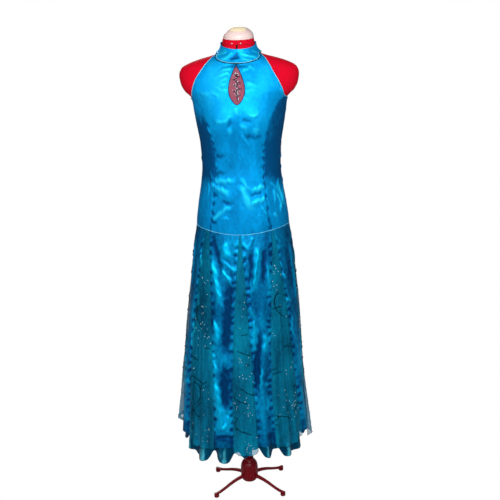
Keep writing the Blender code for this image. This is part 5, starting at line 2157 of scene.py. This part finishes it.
@dataclass
class Skirt(Part):
    """Eight satin gores and eight net godets, gathered at their seams."""

    rows: int = 170
    hem_rows: int = 8
    gore_columns: int = 34
    godet_columns: int = 30
    gore_hem: float = 0.288
    godet_sag: float = 0.012
    top_z: float = 1.05
    seam_dip: float = 0.0012
    seam_width: float = 0.0035
    gathers: Gathers = Gathers(0.0290, 0.022, 0.0022, 0.35)
    gathered: Place = (1.030, 0.330)
    # How deep a pucker is for full painted light, and how far above the gores' hem a painted shade reaches,
    # its fade and its strength.
    pucker_depth: float = 0.0044
    hem_shade_reach: float = 0.050
    hem_shade_fade: float = 0.006
    hem_shade_strength: float = 0.30
    pleat_rise: float = 0.0038
    crease_gain: float = 1.2
    centre_left_turn: float = 133.0
    centre_right_turn: float = 136.0
    # How much wider the creases paint their shade and light than they rise, and how deep a crease or hanging
    # fold is for full painted light.
    shade_spread: float = 1.7
    painted_light_depth: float = 0.0105
    fold_depth: float = 0.0550
    usual_fold: float = 0.45
    room_share: float = 0.55
    room_gap: float = 0.0004

    def __post_init__(self) -> None:
        """Gather the seams, hang the pleats and share the creases round the skirt."""
        shown = CENTRE_LEFT_CREASES + CENTRE_RIGHT_CREASES + OUTER_CREASES
        creases = [replace(c, rise=c.rise * self.crease_gain) for c in shown]
        for source, degrees in (
            (CENTRE_LEFT_CREASES, self.centre_left_turn),
            (CENTRE_RIGHT_CREASES, self.centre_right_turn),
        ):
            creases += [c.moved(degrees) for c in source]
            creases += [c.moved(-degrees, True) for c in source]
        # Wider copies of the creases, which only paint the cloth's shade and light.
        self.shades = [replace(c, half_width=self.shade_spread * c.half_width) for c in creases]
        self.puckers = []
        for number, godet in enumerate(GODETS):
            for side in Side:
                edge = lambda z, g=godet, s=side: float(np.degrees(godet_edge(g, z, s) - turn(z)))
                leaning = replace(self.gathers, lean=side.value * self.gathers.lean)
                seed = 100 + 10 * number + side.value
                self.puckers += leaning.along(edge, side, self.gathered, seed, skirt_arc)
            creases += self.pleats(godet, 300 + number)
        self.creases = creases

    def relief(self, degrees: np.ndarray, heights: np.ndarray) -> tuple[np.ndarray, np.ndarray]:
        """Return the height of the creases and of the puckers at places on the skirt."""
        large = total_relief(self.creases, degrees, heights, skirt_arc)
        return large, total_relief(self.puckers, degrees, heights, skirt_arc)

    def pleats(self, godet: Godet, seed: int) -> list[Crease]:
        """Hang fine uneven pleats in a godet.

        Args:
            godet: The godet.
            seed: The seed of their unevenness.

        Returns:
            The pleats.
        """
        rng = np.random.default_rng(seed)
        made = []
        for share in np.linspace(-0.78, 0.78, 8):
            share += rng.uniform(-0.07, 0.07)
            top = rng.uniform(0.62, 0.92)
            path = []
            for z in np.linspace(top, godet.hem - 0.01, 6):
                half = float(np.degrees(godet_edge(godet, z, Side.RIGHT) - turn(z))) - godet.angle
                path.append((godet.angle + half * (share + rng.uniform(-0.04, 0.04)), float(z)))
            width = rng.uniform(0.0045, 0.0085)
            made.append(Crease(tuple(path), width, self.pleat_rise * rng.uniform(0.5, 1.2), 0.4, 0.0))
        return made

    def build(self) -> None:
        """Build the gores and godets in turn."""
        fine = self.maker.finishes
        for i, godet in enumerate(GODETS):
            following = GODETS[(i + 1) % len(GODETS)]
            lap = 2 * pi if following.angle < godet.angle else 0.0
            left, right = (lambda z, g=godet, s=side: godet_edge(g, z, s) for side in Side)
            name = f"godet_{godet.name}"
            columns, sag = self.godet_columns, self.godet_sag
            self.build_piece(
                SkirtPiece("net_" + name, name, left, right, godet.hem, sag, columns, fine.net, "net", None)
            )
            after = lambda z, g=following, more=lap: godet_edge(g, z, Side.LEFT) + more
            name = f"gore_{i + 1}"
            columns = self.gore_columns
            satin = fine.skirt_satin
            self.build_piece(
                SkirtPiece("satin_" + name, name, right, after, self.gore_hem, 0.0, columns, satin, "satin")
            )

    def build_piece(self, piece: SkirtPiece) -> None:
        """Build one piece of the skirt between two seams.

        Args:
            piece: The gore or godet.
        """
        share = np.linspace(0, 1, piece.columns)
        first, last = (edge(np.asarray(self.top_z)) for edge in (piece.left, piece.right))
        top = hip_seam(first + (last - first) * share - turn(self.top_z))
        heights = top + (SHARED_HEM - top) * np.linspace(0, 1, self.rows)[:, None]
        hem = piece.hem + piece.sag * (2 * share - 1) ** 2
        extra = np.linspace(0, 1, self.hem_rows)[1:, None]
        heights = np.concatenate([heights, SHARED_HEM + (hem - SHARED_HEM) * extra])
        low = piece.left(heights)
        high = piece.right(heights)
        angles = low + (high - low) * share
        width = (high - low) * skirt_radius(low, heights)
        seams = np.minimum(share * width, (1 - share) * width)
        degrees = np.degrees(angles - turn(heights))
        large, small = self.relief(degrees, heights)
        relief = large + small - self.seam_dip * ridge(seams, self.seam_width)
        room = self.room_share * column(UNDER_INSETS, "value", heights) - self.room_gap
        relief = np.maximum(relief, -room)
        plain = offset(skirt_skin, angles, heights, 0.0)
        points = offset(skirt_skin, angles, heights, relief)
        hung = fold_height(SKIRT_FOLDS, np.degrees(angles), heights, SHARED_HEM)
        # Paint shade into the hollows and light onto the crests of the widened creases and the hanging
        # folds; satin also gets it from its puckers, and painted shade along the gores' lower edge.
        broad = total_relief(self.shades, degrees, heights, skirt_arc)
        tone = 0.5 + broad / self.painted_light_depth + (hung - self.usual_fold * hung.max()) / self.fold_depth
        if piece.thickness is not None:
            hem_shade = smooth((self.gore_hem + self.hem_shade_reach - heights) / self.hem_shade_fade)
            tone = tone + small / self.pucker_depth - self.hem_shade_strength * hem_shade
        tone = np.clip(tone, 0, 1)
        self.maker.cloth(
            piece.name, piece.node, points, plain, tone, piece.finish, piece.slot, Held.HUNG, piece.thickness
        )


@dataclass
class NetPrint(Part):
    """The net's scattered swirls, its glitter and its hem stitches."""

    skirt: Skirt
    motifs: int = 9
    dots: int = 46
    line_radius: float = 0.0015
    dot_radius: float = 0.0012
    out: float = 0.0009
    printed: Place = (0.30, 0.98)
    printed_height: float = 0.58

    def surface(self, godet: Godet, places: np.ndarray) -> np.ndarray:
        """Lay places on a godet's cloth.

        Args:
            godet: The godet.
            places: Shares across from -1 to 1, and heights.

        Returns:
            Points just outside the net.
        """
        z = places[:, 1]
        middle = radians(godet.angle) + turn(z)
        angles = middle + (godet_edge(godet, z, Side.RIGHT) - middle) * places[:, 0]
        large, small = self.skirt.relief(np.degrees(angles - turn(z)), z)
        return offset(skirt_skin, angles, z, large + small + self.out)

    def motif(self, rng: np.random.Generator) -> list[np.ndarray]:
        """Draw one curled branch and its twig, 60 to 130 mm long.

        Args:
            rng: Where its unevenness comes from.

        Returns:
            Its lines, as places in metres.
        """
        length = rng.uniform(0.06, 0.13)
        bend = rng.uniform(-11.0, 11.0)
        curl = rng.uniform(12.0, 30.0) * np.sign(bend)
        steps = np.linspace(0, 1, 22)
        turning = rng.uniform(0.7, 2.3) + bend * length * steps + curl * length * steps**4
        dx = np.sin(turning) * length / 21
        dz = np.cos(turning) * length / 21
        stem = np.stack([np.cumsum(dx), np.cumsum(dz)], axis=-1)
        fork = 11
        side = rng.choice([-1, 1])
        twig = length * rng.uniform(0.3, 0.5)
        aim = turning[fork] + side * (0.25 + 0.9 * np.linspace(0, 1, 9))
        step = np.stack([np.sin(aim), np.cos(aim)], axis=-1) * twig / 8
        return [stem, stem[fork] + np.cumsum(step, axis=0)]

    def build(self) -> None:
        """Print every godet, scatter its glitter and bind its hem."""
        fine = self.maker.finishes
        low, high = self.printed
        for number, godet in enumerate(GODETS):
            rng = np.random.default_rng(500 + number)
            places = []
            edges = []
            for i in range(self.motifs):
                z0 = low + self.printed_height * ((i + rng.uniform(0.1, 0.9)) / self.motifs)
                half = float(godet_edge(godet, z0, Side.RIGHT) - godet_edge(godet, z0, Side.LEFT)) / 2
                width = half * float(skirt_radius(radians(godet.angle), z0))
                centre = rng.uniform(-0.75, 0.75) * width
                lean = rng.choice([-1.0, 1.0])
                for line in self.motif(rng):
                    x = (centre + lean * line[:, 0]) / width
                    z = z0 + line[:, 1]
                    inside = (np.abs(x) < 0.95) & (z < high) & (z > godet.hem + 0.01)
                    first = len(places)
                    places += list(zip(x, z))
                    steps = chain(len(line))
                    edges += [(first + a, first + b) for a, b in steps if inside[a] and inside[b]]
            points = self.surface(godet, np.array(places))
            name = f"net_print_{godet.name}"
            self.maker.cords.make(name, points, edges, fine.thread, "net", Radius=self.line_radius)
            self.build_glitter(godet, rng)
            across = np.linspace(-0.99, 0.99, 60)
            hem = godet.hem + self.skirt.godet_sag * across**2 + 0.0008
            edge = self.surface(godet, np.stack([across, hem], axis=-1))
            self.maker.cord(f"net_hem_{godet.name}", edge, 0.0007, fine.thread, "net")

    def build_glitter(self, godet: Godet, rng: np.random.Generator) -> None:
        """Scatter a godet's glitter in loose clusters.

        Args:
            godet: The godet.
            rng: Where its unevenness comes from.
        """
        places = []
        while len(places) < self.dots:
            centre = (rng.uniform(-0.8, 0.8), godet.hem + 0.02 + 0.66 * rng.uniform(0, 1) ** 1.2)
            for _ in range(rng.integers(1, 6)):
                x = centre[0] + rng.normal(0, 0.25)
                z = centre[1] + rng.normal(0, 0.022)
                if abs(x) < 0.92 and z > godet.hem + 0.012:
                    places.append((x, z))
        laid = self.surface(godet, np.array(places))
        glitter = self.maker.finishes.glitter
        self.maker.beads.make(f"net_glitter_{godet.name}", laid, [], glitter, "net", Radius=self.dot_radius)


@dataclass
class Underskirt(Part):
    """The longer satin skirt that shows below the hem and through the net."""

    panels: int = 8
    columns: int = 46
    rows: int = 110
    row_spread: float = 0.92
    top_drop: float = 0.003
    first_seam: float = 9.0
    ripple_rise: float = 0.0020
    ripple_share: float = 3.0
    # How deep a fold is for a full painted highlight on its crest, and the painted light that the panels
    # start from.
    fold_depth: float = 0.012
    usual_tone: float = -0.7

    def hem(self, angles: np.ndarray) -> np.ndarray:
        """Find the hem's height, which is notched between the folds.

        Args:
            angles: Angles round the skirt.

        Returns:
            The heights.
        """
        fold = fold_height(UNDER_FOLDS, np.degrees(angles), UNDER_HEM, UNDER_HEM)
        lift = UNDER_NOTCH * (1 - np.clip(fold / UNDER_NOTCH_DEPTH, 0, 1)) ** 2
        degrees = np.degrees(np.arctan2(np.sin(angles), np.cos(angles)))
        for at, width, factor, more in HEM_CHANGES:
            near = np.exp(-(((degrees - at) / width) ** 2))
            lift = lift * (1 + (factor - 1) * near) + more * near
        return UNDER_HEM + lift

    def ripples(self) -> list[Crease]:
        """Hang soft uneven ripples down the underskirt.

        Returns:
            The ripples.
        """
        rng = np.random.default_rng(81)
        made = []
        degrees = -178.0
        while degrees < 178.0:
            top = rng.uniform(0.45, 0.85)
            path = tuple((degrees + rng.uniform(-1.2, 1.2), float(z)) for z in np.linspace(top, 0.21, 5))
            rise = self.ripple_rise * rng.uniform(-0.8, 1.0)
            made.append(Crease(path, rng.uniform(0.006, 0.014), rise, 0.4, 0.0))
            degrees += rng.uniform(4.0, 9.0)
        return made

    def build(self) -> None:
        """Build the panels and their hem."""
        creases = self.ripples()
        satin = self.maker.finishes.under_satin
        width = 2 * pi / self.panels
        for i in range(self.panels):
            first = radians(self.first_seam) + i * width
            angles = np.linspace(first, first + width, self.columns)
            top = hip_seam(angles) - self.top_drop
            steps = np.linspace(0, 1, self.rows)[:, None] ** self.row_spread
            heights = top + (self.hem(angles) - top) * steps
            spread = np.broadcast_to(angles, heights.shape)
            relief = total_relief(creases, np.degrees(spread), heights, skirt_arc)
            plain = offset(under_skin, spread, heights, 0.0)
            points = offset(under_skin, spread, heights, relief)
            # Painted highlights on the crests of the folds and ripples, and painted shade elsewhere.
            hung = fold_height(UNDER_FOLDS, np.degrees(spread), heights, UNDER_HEM)
            crest = (hung + self.ripple_share * relief) / self.fold_depth
            tone = np.clip(self.usual_tone + crest, 0.1, 1)
            names = f"under_panel_{i + 1}", f"underskirt_{i + 1}"
            self.maker.cloth(*names, points, plain, tone, satin, held=Held.HUNG)
        around = np.linspace(0, 2 * pi, 721)[:-1]
        hem = self.hem(around) + 0.0006
        relief = total_relief(creases, np.degrees(around), hem, skirt_arc)
        roll = offset(under_skin, around, hem, relief - 0.0003)
        self.maker.cord("under_hem_roll", roll, 0.0010, satin, loop=True)


@dataclass
class Studio:
    """The pale floor, the soft lights and the camera."""

    camera_place: Triple = (0.022, -2.40, 1.705)
    camera_tilt: float = 17.4
    camera_roll: float = -1.33
    lens: float = 51.55
    floor_size: float = 60.0
    surround: float = 0.11
    # Each light's name, place, the height that it aims at, the length of its side and its watts.
    lights: tuple[tuple, ...] = (
        ("key", (0.25, -2.6, 2.30), 1.15, 1.50, 86.0),
        ("fill", (-1.7, -2.1, 1.4), 0.9, 1.4, 12.0),
        ("side", (2.4, -0.6, 1.7), 1.0, 1.2, 2.5),
        ("back", (-0.6, 2.6, 2.3), 1.1, 1.4, 62.0),
    )

    def build(self) -> None:
        """Set the stage."""
        self.build_floor()
        self.build_world()
        for name, place, aim, size, power in self.lights:
            data = bpy.data.lights.new(name, "AREA")
            data.size = size
            data.energy = power
            light = linked(name, data)
            light.location = place
            light.rotation_mode = "QUATERNION"
            light.rotation_quaternion = (Vector((0.0, 0.0, aim)) - Vector(place)).to_track_quat("-Z", "Y")
        self.build_camera()
        bpy.context.scene.view_settings.view_transform = "Standard"

    def build_floor(self) -> None:
        """Lay the pale floor, seen as white."""
        mesh = bpy.data.meshes.new("floor")
        s = self.floor_size
        mesh.from_pydata([(-s, -s, 0), (s, -s, 0), (s, s, 0), (-s, s, 0)], [], [(0, 1, 2, 3)])
        nodes = Nodes("floor_paper")
        nodes.set(Roughness=0.9, Specular_IOR_Level=0.1, Base_Color=(0.45, 0.45, 0.45, 1.0))
        glow = nodes.add("Emission", Color=(1.0, 1.0, 1.0, 1.0), Strength=1.0).outputs["Emission"]
        seen_apart(nodes.tree, nodes.shader.outputs["BSDF"], glow, nodes.tree.nodes["Material Output"])
        mesh.materials.append(nodes.material)
        linked("floor", mesh)

    def build_world(self) -> None:
        """Surround the stage with dim even light, seen as white."""
        world = bpy.data.worlds.new("studio")
        bpy.context.scene.world = world
        world.use_nodes = True
        tree = world.node_tree
        white = (1.0, 1.0, 1.0, 1.0)
        lit = fill(tree, tree.nodes["Background"], Color=white, Strength=self.surround)
        seen = fill(tree, tree.nodes.new("ShaderNodeBackground"), Color=white)
        seen_apart(tree, lit.outputs[0], seen.outputs[0], tree.nodes["World Output"])

    def build_camera(self) -> None:
        """Place the camera at the photograph's angle."""
        data = bpy.data.cameras.new("camera")
        data.lens = self.lens
        data.sensor_width = 36.0
        camera = linked("camera", data)
        tilt = Matrix.Rotation(radians(90.0 - self.camera_tilt), 4, "X")
        roll = Matrix.Rotation(radians(self.camera_roll), 4, "Z")
        camera.matrix_world = Matrix.Translation(self.camera_place) @ tilt @ roll
        bpy.context.scene.camera = camera


def main() -> None:
    """Dress the model, light it and note its size."""
    logging.basicConfig(level=logging.INFO, format="%(message)s")
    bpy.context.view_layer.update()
    maker = Maker()
    skirt = Skirt(maker)
    for part in (FormBody(maker), NeckCap(maker), Stand(maker), Collar(maker), Bodice(maker)):
        part.build()
    LOG.info("dress form and bodice built")
    for part in (skirt, NetPrint(maker, skirt), Underskirt(maker), Studio()):
        part.build()
    LOG.info("skirts built and stage set")
    shown = [o for o in bpy.context.scene.objects if o.type == "MESH" and not o.hide_render]
    for piece in shown:
        LOG.info("%s: %d faces", piece.name, len(piece.data.polygons))


if __name__ == "__main__":
    main()
